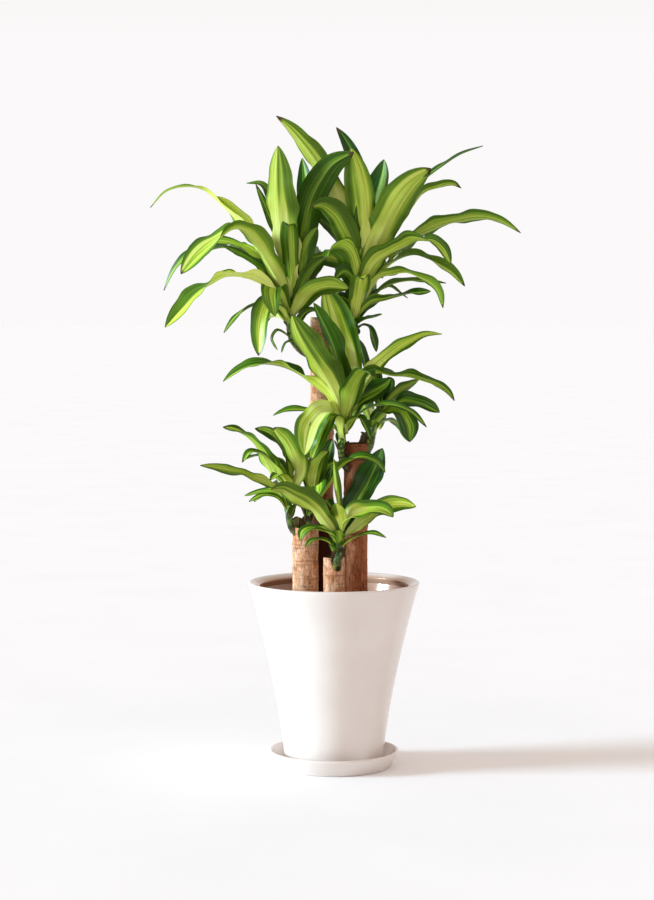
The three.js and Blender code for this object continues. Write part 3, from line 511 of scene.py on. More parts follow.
def end_edit(piece, name, *materials):
    """Back to object mode: the piece gets its name and materials, and its place goes into its mesh."""
    bpy.ops.object.mode_set(mode="OBJECT")
    pick_only(piece)
    bpy.ops.object.transform_apply(location=True, rotation=True, scale=True)
    piece.name = piece.data.name = name
    for material in materials:
        piece.data.materials.append(material)
    return piece


def pick_edges(mesh, wanted):
    """Selects the edges whose two ends satisfy wanted, in edit mode."""
    bpy.ops.mesh.select_all(action="DESELECT")
    bpy.ops.object.mode_set(mode="OBJECT")
    for edge in mesh.edges:
        first, second = (mesh.vertices[v].co for v in edge.vertices)
        edge.select = wanted(first, second)
    bpy.ops.object.mode_set(mode="EDIT")


def points_of(mesh):
    """A mesh's points as rows of three numbers."""
    flat = np.empty(len(mesh.vertices) * 3, np.float32)
    mesh.vertices.foreach_get("co", flat)
    return flat.reshape(-1, 3).astype(float)


def move_points(mesh, points):
    mesh.vertices.foreach_set("co", np.asarray(points, np.float32).ravel())
    mesh.update()


def store(mesh, name, values):
    """Keeps a number, or three, for each point, which the material reads by this name."""
    values = np.asarray(values, np.float32)
    kind, field = ("FLOAT", "value") if values.ndim == 1 else ("FLOAT_VECTOR", "vector")
    mesh.attributes.new(name, kind, "POINT").data.foreach_set(field, values.ravel())


def smooth(piece, degrees):
    """Smooth shading, with edges sharper than this left sharp."""
    pick_only(piece)
    bpy.ops.object.shade_smooth_by_angle(angle=math.radians(degrees))


def joined(pieces, name):
    pick_only(*pieces)
    bpy.ops.object.join()
    pieces[0].name = pieces[0].data.name = name
    return pieces[0]


def dress(piece, slot, *nodes):
    """A finished piece stands for its CAD nodes and moves with the body; its slot is not used."""
    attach(piece, "root")
    if nodes:
        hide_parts(*nodes)


def eased(share):
    share = min(1.0, max(0.0, share))
    return share * share * (3 - 2 * share)


# ---- Camera, light and floor ----


def place_camera():
    bpy.ops.object.camera_add(
        location=CAMERA_PLACE, rotation=(math.radians(90 - CAMERA_DIP), 0, 0)
    )
    camera = bpy.context.object
    camera.name = "camera"
    camera.data.lens = CAMERA_LENS
    camera.data.clip_end = FARTHEST_SEEN
    bpy.context.scene.camera = camera


def place_key_light():
    """A large, far, soft window, low on the plant's left and a little in front."""
    side, rise = math.radians(KEY_SIDE), math.radians(KEY_RISE)
    away = Vector((-math.cos(side) * math.cos(rise), -math.sin(side) * math.cos(rise), math.sin(rise)))
    bpy.ops.object.light_add(type="SUN", location=away * KEY_AWAY)
    light = bpy.context.object
    light.name = "window_light"
    light.rotation_euler = away.to_track_quat("Z", "Y").to_euler()
    light.data.angle = math.radians(KEY_SPREAD)
    light.data.energy = KEY_POWER
    light.data.color = linear(KEY_COLOUR)[:3]


def fill_air():
    """The white room round the plant: bright walls, and air overhead that is a little dimmer and warmer."""
    world = bpy.data.worlds.new("white_room")
    world.use_nodes = True
    world.node_tree.nodes.clear()
    put = partial(add_node, world.node_tree)
    direction = put("TexCoord").outputs["Generated"]
    rise = put("SeparateXYZ", {0: direction}).outputs["Z"]
    tone = put("ValToRGB", {"Fac": rise}, stops=((WALL_TOP, WALL_COLOUR), (AIR_FROM, AIR_COLOUR)))
    put("OutputWorld", {"Surface": put("Background", {"Color": tone})})
    bpy.context.scene.world = world
    bpy.context.scene.view_settings.view_transform = "Standard"


def studio_paper():
    """Seamless background paper: uncoated and matt, without visible grain, and clouded so faintly and
    broadly that it looks even."""
    material, put = new_material("seamless_studio_paper")
    place = put("TexCoord").outputs["Object"]
    clouds = put("TexNoise", {"Vector": place, "Scale": 1 / (333 * MM), "Detail": 4.0})
    tone = put("ValToRGB", {"Fac": clouds}, stops=((0.3, "f7f6f7"), (0.7, "faf9fa")))
    paper = put("BsdfPrincipled", {"Base Color": tone, "Roughness": 0.95, "Specular IOR Level": 0.1})
    put("OutputMaterial", {"Surface": paper})
    return material


def lay_paper():
    """The pale floor, which runs back until it is lost in the white of the room."""
    bpy.ops.object.select_all(action="DESELECT")
    bpy.ops.mesh.primitive_circle_add(vertices=64, radius=FLOOR_RADIUS, fill_type="NGON")
    floor = bpy.context.object
    floor.name = floor.data.name = "studio_floor"
    floor.data.materials.append(studio_paper())


# ---- Turned pieces ----


def turned(name, profile, sides, material, start="NOTHING"):
    """A round piece raised ring by ring: a circle at the profile's first radius and height is extruded
    and widened to each next one. A filled start makes a closed body, whose last ring is filled too."""
    (radius, height), *rest = profile
    bpy.ops.object.select_all(action="DESELECT")
    bpy.ops.mesh.primitive_circle_add(
        vertices=sides, radius=radius, location=(0, 0, height), fill_type=start
    )
    piece = bpy.context.object
    start_edit()
    for next_radius, next_height in rest:
        bpy.ops.mesh.extrude_region_move(
            TRANSFORM_OT_translate={"value": (0, 0, next_height - height)}
        )
        wider = next_radius / radius
        bpy.ops.transform.resize(value=(wider, wider, 1), center_override=(0, 0, next_height))
        radius, height = next_radius, next_height
    bpy.ops.mesh.select_all(action="SELECT")
    bpy.ops.mesh.remove_doubles(threshold=1e-6)
    bpy.ops.mesh.normals_make_consistent(inside=False)
    return end_edit(piece, name, material)


def lip(radius, wall, top):
    """The round-over of a wall's top, from its outer face to its inner one."""
    middle, half = radius - wall / 2, wall / 2
    angles = [math.pi * i / ARC_STEPS for i in range(ARC_STEPS + 1)]
    return [(middle + half * math.cos(a), top - half + half * math.sin(a)) for a in angles]


def between(low, high, steps):
    return [low + (high - low) * i / steps for i in range(steps + 1)]


def cream_glaze():
    """Stoneware, slip-cast, dipped in a cream glaze and fired: glossy and glassy, with faint clouds
    where the glaze is thicker and a soft orange-peel in its reflections. The peel is drawn at 6 mm,
    coarser than the real one, so that it shows. Inside, below the lip, the pot is painted brown:
    painted shade for its dim inside."""
    material, put = new_material("cream_glazed_stoneware")
    place = put("TexCoord").outputs["Object"]
    clouds = put("TexNoise", {"Vector": place, "Scale": 1 / (111 * MM), "Detail": 3.0})
    outer = put("ValToRGB", {"Fac": clouds}, stops=((0.3, "dcd0c8"), (0.7, "e3d8d1")))
    # Painted shade: the inner wall below the lip is painted brown, for the dim shade inside the pot.
    inside = put("Attribute", attribute_name="inside").outputs["Fac"]
    colour = put("Mix", {0: inside, 6: outer, 7: linear("c49a80")}, data_type="RGBA").outputs[2]
    peel = put("TexNoise", {"Vector": place, "Scale": 1 / (6.25 * MM), "Detail": 2.0})
    waves = put("TexNoise", {"Vector": place, "Scale": 1 / (45.5 * MM), "Detail": 1.0})
    fine = put("Bump", {"Height": peel, "Strength": 0.25, "Distance": 0.05 * MM})
    broad = put("Bump", {"Height": waves, "Strength": 0.3, "Distance": 0.5 * MM, "Normal": fine})
    gloss = put("MapRange", {"Value": clouds, "To Min": 0.1, "To Max": 0.2})
    glaze = put(
        "BsdfPrincipled",
        {"Base Color": colour, "Roughness": gloss, "IOR": 1.52, "Normal": broad},
    )
    put("OutputMaterial", {"Surface": glaze})
    return material


def sloping_lip(rim, top):
    """A pot's lip, which slopes inwards: its round outer edge, its crowned top and its round inner edge."""
    outer, inner = LIP_ROUNDS
    outer_turns = [math.pi / 2 * i / ARC_STEPS for i in range(ARC_STEPS + 1)]
    inner_turns = [math.radians(turn) for turn in between(LIP_INNER_FROM, 180, ARC_STEPS)]
    low = top - LIP_DROP - inner
    crown = (rim - LIP_WIDTH / 2, top - LIP_DROP * LIP_CROWN)
    return [
        *((rim - outer + outer * math.cos(a), top - outer + outer * math.sin(a)) for a in outer_turns),
        crown,
        *((rim - LIP_WIDTH + inner + inner * math.cos(a), low + inner * math.sin(a)) for a in inner_turns),
        (rim - LIP_WIDTH + inner / 4, low - inner),
    ]


def pot_sizes():
    """The rim's radius, the foot's height and the rim's height, from the frame."""
    low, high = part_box("pot")
    return high.x, low.z, high.z


def pot_radius(height):
    """The outer wall's radius at a height."""
    rim, foot, top = pot_sizes()
    share = min(1.0, max(0.0, (height - foot) / (top - foot)))
    return rim * (POT_FOOT + (1 - POT_FOOT) * share**POT_FLARE)


def make_pot(glaze):
    rim, foot, top = pot_sizes()
    floor = foot + POT_FLOOR
    under_lip = top - POT_LIP
    rising = between(foot + POT_FOOT_BEVEL, under_lip, POT_OUTER_RINGS)
    sinking = between(under_lip, floor, POT_INNER_RINGS)
    outside = [(pot_radius(z), z) for z in rising]
    inside = [(pot_radius(z) - POT_WALL, z) for z in sinking]
    profile = [
        (DRAIN_RADIUS, foot),
        (rim * POT_FOOT - POT_FOOT_BEVEL, foot),
        (rim * POT_FOOT - POT_FOOT_BEVEL / 3, foot + POT_FOOT_BEVEL / 3),
        *outside,
        *sloping_lip(rim, top),
        *inside,
        (DRAIN_RADIUS, floor),
        (DRAIN_RADIUS, foot),
    ]
    pot = turned("glazed_pot", profile, ROUND_SIDES, glaze)
    points = points_of(pot.data)
    heights, ring = np.unique(points[:, 2], return_inverse=True)
    walls = np.array([pot_radius(z) - POT_WALL + TOLERANCE for z in heights])[ring]
    inner = np.hypot(points[:, 0], points[:, 1]) < walls
    above_floor = points[:, 2] > floor - TOLERANCE
    # Marks the inner wall below the lip, which the glaze paints brown as painted shade.
    store(pot.data, "inside", inner * above_floor * (points[:, 2] < top - LIP_DROP))
    smooth(pot, GLAZE_SHARP)
    dress(pot, "glazed_ceramic", "pot")


def make_saucer(glaze):
    low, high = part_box("saucer")
    rim, base, top = high.x, high.x * SAUCER_BASE, high.z
    slope = (rim - base) / top
    profile = [
        (base / 2, 0),
        (base - SAUCER_FOOT_BEVEL, 0),
        (base + slope * SAUCER_FOOT_BEVEL, SAUCER_FOOT_BEVEL),
        *lip(rim, SAUCER_WALL, top),
        (base + slope * SAUCER_FLOOR - SAUCER_WALL, SAUCER_FLOOR + SAUCER_CORNER / 2),
        (base + slope * SAUCER_FLOOR - SAUCER_WALL - SAUCER_CORNER, SAUCER_FLOOR),
        (base / 2, SAUCER_FLOOR),
    ]
    saucer = turned("glazed_saucer", profile, ROUND_SIDES, glaze, start="NGON")
    smooth(saucer, GLAZE_SHARP)
    dress(saucer, "glazed_ceramic", "saucer")


# ---- Soil ----


def potting_soil():
    """Dry peat-based potting soil, poured and watered in: matt and crumbly, dark with paler dry grains
    about 4 mm wide and patches about 22 mm wide."""
    material, put = new_material("dry_potting_soil")
    place = put("TexCoord").outputs["Object"]
    grains = put("TexVoronoi", {"Vector": place, "Scale": 1 / (3.85 * MM)})
    patch = {"Vector": place, "Scale": 1 / (22.2 * MM), "Detail": 6.0, "Roughness": 0.7}
    patches = put("TexNoise", patch)
    blend = put("Mix", {0: 0.45, 2: patches, 3: grains.outputs["Distance"]})
    colour = put(
        "ValToRGB",
        {"Fac": blend},
        stops=((0.3, "4b2e1f"), (0.5, "7a5139"), (0.75, "93684b")),
    )
    bump = put("Bump", {"Height": blend, "Strength": 0.8, "Distance": 2 * MM})
    soil = put(
        "BsdfPrincipled",
        {"Base Color": colour, "Roughness": 0.95, "Specular IOR Level": 0.2, "Normal": bump},
    )
    put("OutputMaterial", {"Surface": soil})
    return material


def cane_boxes():
    """Each cane's name, middle, radius with its scars, foot and cut top, from the frame."""
    found = []
    for name in ("left", "right", "tall", "small"):
        low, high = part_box("cane_" + name)
        middle = (low + high) / 2
        found.append((name, middle.x, middle.y, (high.x - low.x) / 2, low.z, high.z))
    return found


def soil_height(x, y):
    """How far the soil's surface stands above or below its plain form at a place."""
    rough = noise.noise(Vector((x, y, 0)) / SOIL_LUMP_PITCH)
    fine = noise.noise(Vector((x, y, 1)) / (SOIL_LUMP_PITCH / 4))
    return SOIL_LUMPS * ((1 - SOIL_FINE_SHARE) * rough + SOIL_FINE_SHARE * fine)


def make_soil(soil):
    low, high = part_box("soil")
    edge = low.z + (high.z - low.z) * SOIL_EDGE
    outer = pot_radius(edge) - POT_WALL - SOIL_GAP
    side = [(pot_radius(z) - POT_WALL - SOIL_GAP, z) for z in between(low.z, edge, SOIL_RINGS)]
    rings = round(outer / SOIL_STEP)
    cover = [(outer * (1 - i / rings), edge + (high.z - edge) * i / rings) for i in range(1, rings)]
    bed = turned("soil_bed", [*side, *cover], ROUND_SIDES, soil, start="NGON")
    points = points_of(bed.data)
    for point in points:
        reach = math.hypot(point[0], point[1])
        if point[2] > edge + 1e-5:
            point[2] += soil_height(point[0], point[1]) * min(1, (outer - reach) / (3 * SOIL_STEP))
    move_points(bed.data, points)
    for _, x, y, radius, foot, top in cane_boxes():
        cut_hole(bed, x, y, radius + SOIL_GAP, foot - SOIL_GAP, high.z + HOLE_ABOVE)
    smooth(bed, SOIL_SHARP)
    dress(bed, "potting_soil", "soil")
    dress(scatter_crumbs(soil, edge, high.z, outer), "potting_soil")


def cut_hole(piece, x, y, radius, bottom, top):
    """Cuts a round hole by a Boolean with a cylinder, which is then removed."""
    bpy.ops.object.select_all(action="DESELECT")
    bpy.ops.mesh.primitive_cylinder_add(
        vertices=HOLE_SIDES, radius=radius, depth=top - bottom, location=(x, y, (bottom + top) / 2)
    )
    cutter = bpy.context.object
    pick_only(piece)
    modifier = piece.modifiers.new("hole", "BOOLEAN")
    modifier.operation, modifier.object = "DIFFERENCE", cutter
    bpy.ops.object.modifier_apply(modifier=modifier.name)
    bpy.data.objects.remove(cutter)


def scatter_crumbs(soil, edge, crown, outer):
    """Loose crumbs on the soil: a few broken lumps, copied, turned and sized at random."""
    draw = random.Random(11)
    shapes = []
    for number in range(CRUMB_SHAPES):
        bpy.ops.object.select_all(action="DESELECT")
        bpy.ops.mesh.primitive_ico_sphere_add(subdivisions=1, radius=0.5)
        start_edit()
        bpy.ops.mesh.subdivide(number_cuts=1, fractal=CRUMB_BREAK, seed=number + 1)
        bpy.ops.object.mode_set(mode="OBJECT")
        shapes.append(bpy.context.object)
        shapes[-1].data.materials.append(soil)
    crumbs = []
    canes = cane_boxes()
    while len(crumbs) < CRUMBS:
        angle, reach = draw.uniform(0, 2 * math.pi), (outer - CRUMB_EDGE) * math.sqrt(draw.random())
        x, y = reach * math.cos(angle), reach * math.sin(angle)
        size = draw.uniform(*CRUMB_SIZES) * draw.uniform(CRUMB_SHRINK, 1)
        if any(math.hypot(x - cx, y - cy) < radius + size for _, cx, cy, radius, _, _ in canes):
            continue
        mesh = draw.choice(shapes).data.copy()
        leaning = Vector((draw.uniform(-1, 1), draw.uniform(-1, 1), 1))
        turn = np.array(leaning.to_track_quat("Z", "Y").to_matrix())
        sides = (size * draw.uniform(*CRUMB_LENGTHS), size, size * CRUMB_HEIGHT)
        local = points_of(mesh) @ turn * sides
        z = edge + (crown - edge) * (1 - reach / outer) + soil_height(x, y) + size * CRUMB_RISE
        move_points(mesh, local + (x, y, z))
        crumb = bpy.data.objects.new("crumb", mesh)
        bpy.context.scene.collection.objects.link(crumb)
        crumbs.append(crumb)
    for shape in shapes:
        bpy.data.objects.remove(shape)
    return joined(crumbs, "soil_crumbs")


# ---- Canes ----


def corn_cane_bark():
    """Bark of a corn plant's trunk, grown and dried: thin tan cork in upright flakes about 6 mm wide,
    each of its own tone, split by short brown cracks, with a dark line under each ring scar. It is
    matt. Its fibres are drawn 3 mm apart, coarser than real ones, so that they show. Each cane is
    also darkened by painted shade, for the shadows of the other canes and the leaves."""
    material, put = new_material("corn_plant_bark")
    place = put("TexCoord").outputs["Object"]
    upright = put("Mapping", {"Vector": place, "Scale": (1, 1, 0.12)})
    flaky = put("Mapping", {"Vector": place, "Scale": (1, 1, 0.4)})
    level = put("Mapping", {"Vector": place, "Scale": (0.1, 0.1, 1)})
    fibre = {"Vector": upright, "Scale": 1 / (3.03 * MM), "Detail": 4.0, "Roughness": 0.65}
    fibres = put("TexNoise", fibre)
    flake = {"Vector": flaky, "Scale": 1 / (5.88 * MM)}
    flakes = put("TexVoronoi", flake)
    splits = put("TexVoronoi", flake, feature="DISTANCE_TO_EDGE")
    rings = put("TexNoise", {"Vector": level, "Scale": 1 / (5 * MM), "Detail": 2.0})
    patches = put("TexNoise", {"Vector": place, "Scale": 1 / (41.7 * MM), "Detail": 3.0})
    own = put("SeparateXYZ", {0: flakes.outputs["Color"]})
    tones = put("Mix", {0: 0.25, 2: fibres, 3: own.outputs["X"]})
    tan = put(
        "ValToRGB",
        {"Fac": tones},
        stops=((0.25, "a8744e"), (0.42, "d6a47c"), (0.58, "ecc8a8"), (0.78, "fae6d0")),
    )
    warm = put("ValToRGB", {"Fac": patches}, stops=((0.35, "eebf9f"), (0.65, "ffffff")))
    warmed = put("Mix", {0: 0.75, 6: tan, 7: warm}, data_type="RGBA", blend_type="MULTIPLY")
    split = put("MapRange", {"Value": splits, "From Max": 0.07, "To Min": 0.5, "To Max": 0.0})
    cracked = put("Mix", {0: split, 6: warmed.outputs[2], 7: linear("8a5a3a")}, data_type="RGBA")
    ring = put("MapRange", {"Value": rings, "From Min": 0.6, "From Max": 0.68, "To Max": 0.5})
    banded = put("Mix", {0: ring, 6: cracked.outputs[2], 7: linear("8a5738")}, data_type="RGBA")
    scar = put("Attribute", attribute_name="scar").outputs["Fac"]
    line = put("MapRange", {"Value": scar, "From Min": 0.35, "From Max": 0.95, "To Max": 0.65})
    ringed = put("Mix", {0: line, 6: banded.outputs[2], 7: linear("70452c")}, data_type="RGBA")
    crack = put("Attribute", attribute_name="crack").outputs["Fac"]
    depth = put("MapRange", {"Value": crack, "From Min": 0.3, "To Max": 0.75})
    sunk = put("Mix", {0: depth, 6: ringed.outputs[2], 7: linear("5c3520")}, data_type="RGBA")
    # Painted shade: each cane's bark is darkened by its tone, most on the right cane and low on the tall
    # one, where the other canes and the leaves shade it.
    tone = put("Attribute", attribute_name="tone").outputs["Fac"]
    shade = put("ValToRGB", {"Fac": tone}, stops=((0.3, "56341f"), (0.6, "b8957e"), (1.0, "ffffff")))
    painted_shade_bark = put("Mix", {0: 1.0, 6: sunk.outputs[2], 7: shade}, data_type="RGBA", blend_type="MULTIPLY")
    height = put("Math", {0: fibres, 1: split}, operation="SUBTRACT")
    bump = put("Bump", {"Height": height, "Strength": 0.7, "Distance": 0.7 * MM})
    bark = put(
        "BsdfPrincipled",
        {"Base Color": painted_shade_bark.outputs[2], "Roughness": 0.8, "Specular IOR Level": 0.2, "Normal": bump},
    )
    put("OutputMaterial", {"Surface": bark})
    return material


def sawn_cane_end():
    """The cane's sawn end, sealed and weathered: dark brown pith fibres cut across, almost black. They
    are drawn 3 mm apart, coarser than real ones, so that they show."""
    material, put = new_material("sealed_sawn_end")
    place = put("TexCoord").outputs["Object"]
    fibres = put("TexNoise", {"Vector": place, "Scale": 1 / (3.125 * MM), "Detail": 4.0})
    colour = put("ValToRGB", {"Fac": fibres}, stops=((0.35, "150e0a"), (0.65, "38261a")))
    bump = put("Bump", {"Height": fibres, "Strength": 0.6, "Distance": 0.6 * MM})
    surface = {"Base Color": colour, "Roughness": 0.9, "Specular IOR Level": 0.05, "Normal": bump}
    end = put("BsdfPrincipled", surface)
    put("OutputMaterial", {"Surface": end})
    return material


def painted_cane_shade(name, height):
    """How light a cane's bark is painted at a height, as painted shade: from its tone at the soil to its
    tone near its cut.
    """
    low_tone, high_tone, low, high = CANE_PAINTED_SHADE[name]
    return low_tone + (high_tone - low_tone) * eased((height / MM - low) / (high - low))


def make_cane(name, x, y, radius, foot, top, bark, sawn):
    """A cut cane: a cylinder divided into fine rings, with ring scars and split bark raised on it."""
    bpy.ops.object.select_all(action="DESELECT")
    bpy.ops.mesh.primitive_cylinder_add(
        vertices=CANE_SIDES, radius=radius, depth=top - foot, location=(x, y, (top + foot) / 2)
    )
    cane = bpy.context.object
    start_edit()
    pick_edges(cane.data, lambda a, b: abs(a.z - b.z) > 1e-4)
    bpy.ops.mesh.subdivide(number_cuts=round((top - foot) / CANE_STEP))
    pick_edges(cane.data, lambda a, b: min(a.z, b.z) > (top - foot) / 2 - 1e-5)
    bpy.ops.mesh.bevel(offset=CUT_BEVEL, segments=2, affect="EDGES")
    end_edit(cane, "corn_cane_" + name, bark, sawn)
    points = points_of(cane.data)
    scars, cracks = np.zeros(len(points)), np.zeros(len(points))
    plain = radius - SCAR_RISE
    for i, point in enumerate(points):
        out = Vector((point[0] - x, point[1] - y, 0))
        share = out.length / radius
        if share < BARK_DEPTH:
            continue
        below = (top - CUT_BEVEL - TOP_SCAR * SCAR_PITCH - point[2]) % SCAR_PITCH
        scars[i] = max(0, 1 - below / SCAR_SLOPE) if point[2] < top - TOP_SCAR * SCAR_PITCH else 0
        out.normalize()
        around = Vector((out.x, out.y, 0)) * radius
        level = Vector((around.x + x, around.y + y, 0)) / CRACK_WIDTH
        grain = level + Vector((0, 0, point[2])) / CRACK_LENGTH
        ridge = 1 - abs(noise.noise(grain)) * CRACK_THINNESS
        cracks[i] = eased(ridge) * (1 - scars[i])
        swell = BARK_SWELL * noise.noise(Vector((around.x, around.y, point[2])) / (3 * CRACK_WIDTH))
        reach = share * (plain + SCAR_RISE * scars[i] + swell - CRACK_DEPTH * cracks[i])
        point[0], point[1] = x + out.x * reach, y + out.y * reach
    move_points(cane.data, points)
    store(cane.data, "scar", scars)
    store(cane.data, "crack", cracks)
    # Stores each point's painted shade, by cane and height.
    store(cane.data, "tone", [painted_cane_shade(name, z) for z in points[:, 2]])
    for face in cane.data.polygons:
        face.material_index = int(face.normal.z > 0.9 and face.center.z > top - CUT_BEVEL)
    smooth(cane, BARK_SHARP)
    dress(cane, "cane_bark", "cane_" + name)


# ---- Leaf finishes ----


def leaf_streaks(put):
    """What the faces of a leaf share: where a point is on its blade, and streaks that run along it. A
    fine streak is about a fifth of half the blade wide, 3 to 5 mm. Real veins lie closer, and would
    be too fine to show."""
    across = put("Attribute", attribute_name="across").outputs["Fac"]
    along = put("Attribute", attribute_name="along").outputs["Fac"]
    own = put("SeparateXYZ", {0: put("Attribute", attribute_name="leaf").outputs["Vector"]})
    seed = put("Math", {0: own.outputs["Y"], 1: 50.0}, operation="MULTIPLY")
    drawn_out = put("Math", {0: along, 1: 0.28}, operation="MULTIPLY")
    place = put("CombineXYZ", {0: across, 1: drawn_out, 2: seed})
    broad = put("TexNoise", {"Vector": place, "Scale": 2.6, "Detail": 1.0, "Roughness": 0.5})
    fine = put("TexNoise", {"Vector": place, "Scale": 5.5, "Detail": 2.0, "Roughness": 0.55})
    return across, along, own, broad, fine


def leaf_tone(put, across, along, own, broad, fine, contrast):
    """How yellow the leaf is at a point, from 0 for its darkest green to 1 for its palest yellow: a
    stripe off the middle, broader and paler in the leaf's lower half, with green streaks from the tip.
    A leaf with a broad stripe is paler all over than one with a narrow stripe."""
    stripy = own.outputs["X"]
    pale = put("Attribute", attribute_name="pale").outputs["Fac"]
    # The stripe's middle lies off the rib, by an amount of each leaf's own, and its edge is ragged.
    lean = put("MapRange", {"Value": own.outputs["Y"], "To Min": -0.4, "To Max": 0.4})
    leaning = put("Math", {0: across, 1: lean}, operation="ADD")
    from_middle = put("Math", {0: leaning}, operation="ABSOLUTE")
    ragged = put("Math", {0: broad, 1: -1.5, 2: 0.75}, operation="MULTIPLY_ADD")
    edge = put("Math", {0: from_middle, 1: ragged}, operation="ADD")
    # The paler half reaches from the foot to pale_to, fading from pale_from on.
    pale_to = put("Math", {0: pale, 1: 0.34, 2: 0.46}, operation="MULTIPLY_ADD")
    pale_from = put("Math", {0: pale_to, 1: 0.42}, operation="SUBTRACT")
    lower = put(
        "MapRange",
        {"Value": along, "From Min": pale_from, "From Max": pale_to, "To Min": 1.0, "To Max": 0.0},
        interpolation_type="SMOOTHSTEP",
    )
    lower_pale = put("Math", {0: lower, 1: pale}, operation="MULTIPLY")
    # Half the stripe's width, as a share of half the blade, and its soft edge.
    stripe_reach = put("Math", {0: stripy, 1: 0.6, 2: 0.12}, operation="MULTIPLY_ADD")
    reach = put("Math", {0: lower_pale, 1: 0.75, 2: stripe_reach}, operation="MULTIPLY_ADD")
    inner = put("Math", {0: reach, 1: 0.16}, operation="SUBTRACT")
    outer = put("Math", {0: reach, 1: 0.26}, operation="ADD")
    band = put(
        "MapRange",
        {"Value": edge, "From Min": inner, "From Max": outer, "To Min": 1.0, "To Max": 0.0},
        interpolation_type="SMOOTHSTEP",
    )
    # Green streaks run into the stripe from the tip and die out towards the foot.
    streak = put(
        "MapRange",
        {"Value": fine, "From Min": 0.4, "From Max": 0.66},
        interpolation_type="SMOOTHSTEP",
    )
    from_tip = put("MapRange", {"Value": along, "From Min": 0.1, "From Max": 0.8, "To Min": 0.3})
    green_streak = put("Math", {0: streak, 1: from_tip}, operation="MULTIPLY")
    kept = put("Math", {0: green_streak, 1: -contrast, 2: 1.0}, operation="MULTIPLY_ADD")
    stripe = put("Math", {0: band, 1: kept}, operation="MULTIPLY")
    # The blade's own green, the stripe on it, the paler half and at last the grain of the veins.
    stripe_gain = put("Math", {0: stripy, 1: 0.36, 2: 0.2}, operation="MULTIPLY_ADD")
    ground = put("Math", {0: stripy, 1: 0.24, 2: 0.23}, operation="MULTIPLY_ADD")
    striped = put("Math", {0: stripe, 1: stripe_gain, 2: ground}, operation="MULTIPLY_ADD")
    paler = put("Math", {0: lower_pale, 1: stripe}, operation="MULTIPLY")
    paled = put("Math", {0: paler, 1: 0.4, 2: striped}, operation="MULTIPLY_ADD")
    vein = contrast / 6
    grain = put(
        "MapRange",
        {"Value": fine, "From Min": 0.34, "From Max": 0.66, "To Min": vein, "To Max": -vein},
    )
    return put("Math", {0: paled, 1: grain}, operation="ADD")


def leaf_skin(name, tones, rib, roughness, sheen, contrast, glow, see_through):
    """A leaf's face: green towards the margins and yellow in a stripe, both streaked along the blade,
    with a paler midrib and foot and a dried tip. Thin living leaf lets light through."""
    material, put = new_material(name)
    across, along, own, broad, fine = leaf_streaks(put)
    tone = leaf_tone(put, across, along, own, broad, fine, contrast)
    flesh = put("ValToRGB", {"Fac": tone}, stops=tuple(zip((0.1, 0.3, 0.5, 0.7, 0.86, 1.0), tones)))
    drawn = put("Math", {0: own.outputs["Y"], 1: 7.3}, operation="MULTIPLY")
    own_share = put("Math", {0: drawn}, operation="FRACT")
    own_hue = put("MapRange", {"Value": own_share, "To Min": 0.488, "To Max": 0.505})
    own_light = put("MapRange", {"Value": own.outputs["Y"], "To Min": 0.82, "To Max": 1.16})
    own_flesh = put("HueSaturation", {"Hue": own_hue, "Value": own_light, "Color": flesh})
    side = put("Math", {0: across}, operation="ABSOLUTE")
    on_rib = put(
        "MapRange",
        {"Value": side, "From Min": 0.02, "From Max": 0.06, "To Min": 0.3, "To Max": 0.0},
    )
    ribbed = put("Mix", {0: on_rib, 6: own_flesh, 7: linear(rib)}, data_type="RGBA")
    at_foot = put("MapRange", {"Value": along, "From Max": 0.12, "To Min": 0.5, "To Max": 0.0})
    footed = put("Mix", {0: at_foot, 6: ribbed.outputs[2], 7: linear("8fa63c")}, data_type="RGBA")
    dry_from = put("Math", {0: 1.0, 1: own.outputs["Z"]}, operation="SUBTRACT")
    dry_to = put("Math", {0: dry_from, 1: 0.02}, operation="ADD")
    is_dry = put("MapRange", {"Value": along, "From Min": dry_from, "From Max": dry_to})
    dry = put("ValToRGB", {"Fac": fine}, stops=((0.35, "2a2714"), (0.65, "6b5b34")))
    colour = put("Mix", {0: is_dry, 6: footed.outputs[2], 7: dry}, data_type="RGBA").outputs[2]
    veins = put("Bump", {"Height": fine, "Strength": 0.4, "Distance": 0.15 * MM})
    gloss = put("MapRange", {"Value": broad, "To Min": roughness[0], "To Max": roughness[1]})
    surface = {"Base Color": colour, "Roughness": gloss, "IOR": 1.45, "Normal": veins}
    skin = put("BsdfPrincipled", {**surface, "Specular IOR Level": sheen})
    shone = put("Mix", {0: 1.0, 6: colour, 7: linear(glow)}, data_type="RGBA", blend_type="MULTIPLY")
    through = put("BsdfTranslucent", {"Color": shone.outputs[2]})
    put("OutputMaterial", {"Surface": put("MixShader", {0: see_through, 1: skin, 2: through})})
    return material


def leaf_face():
    """The upper face of a corn plant's leaf, grown: a glossy waxy skin, deep green with a yellow stripe.
    Its darkest greens are painted darker than the leaf's own, as painted shade for the dim inside of the
    plant.
    """
    return leaf_skin(
        "corn_leaf_upper_face",
        # The two darkest greens are partly painted shade, for the dim inside of the plant.
        tones=("0a2002", "255406", "699f1c", "b8d640", "dcea66", "ebf29a"),
        rib="b4c85c",
        roughness=(0.32, 0.46),
        sheen=0.5,
        contrast=0.48,
        glow="f0ff90",
        see_through=0.25,
    )


def leaf_back():
    """The underside of a corn plant's leaf, grown: duller and paler than the upper face, olive green."""
    return leaf_skin(
        "corn_leaf_underside",
        tones=("1b3807", "3f650e", "769a28", "aec640", "cbd962", "dde684"),
        rib="b9ca62",
        roughness=(0.4, 0.52),
        sheen=0.22,
        contrast=0.34,
        glow="eeff90",
        see_through=0.25,
    )


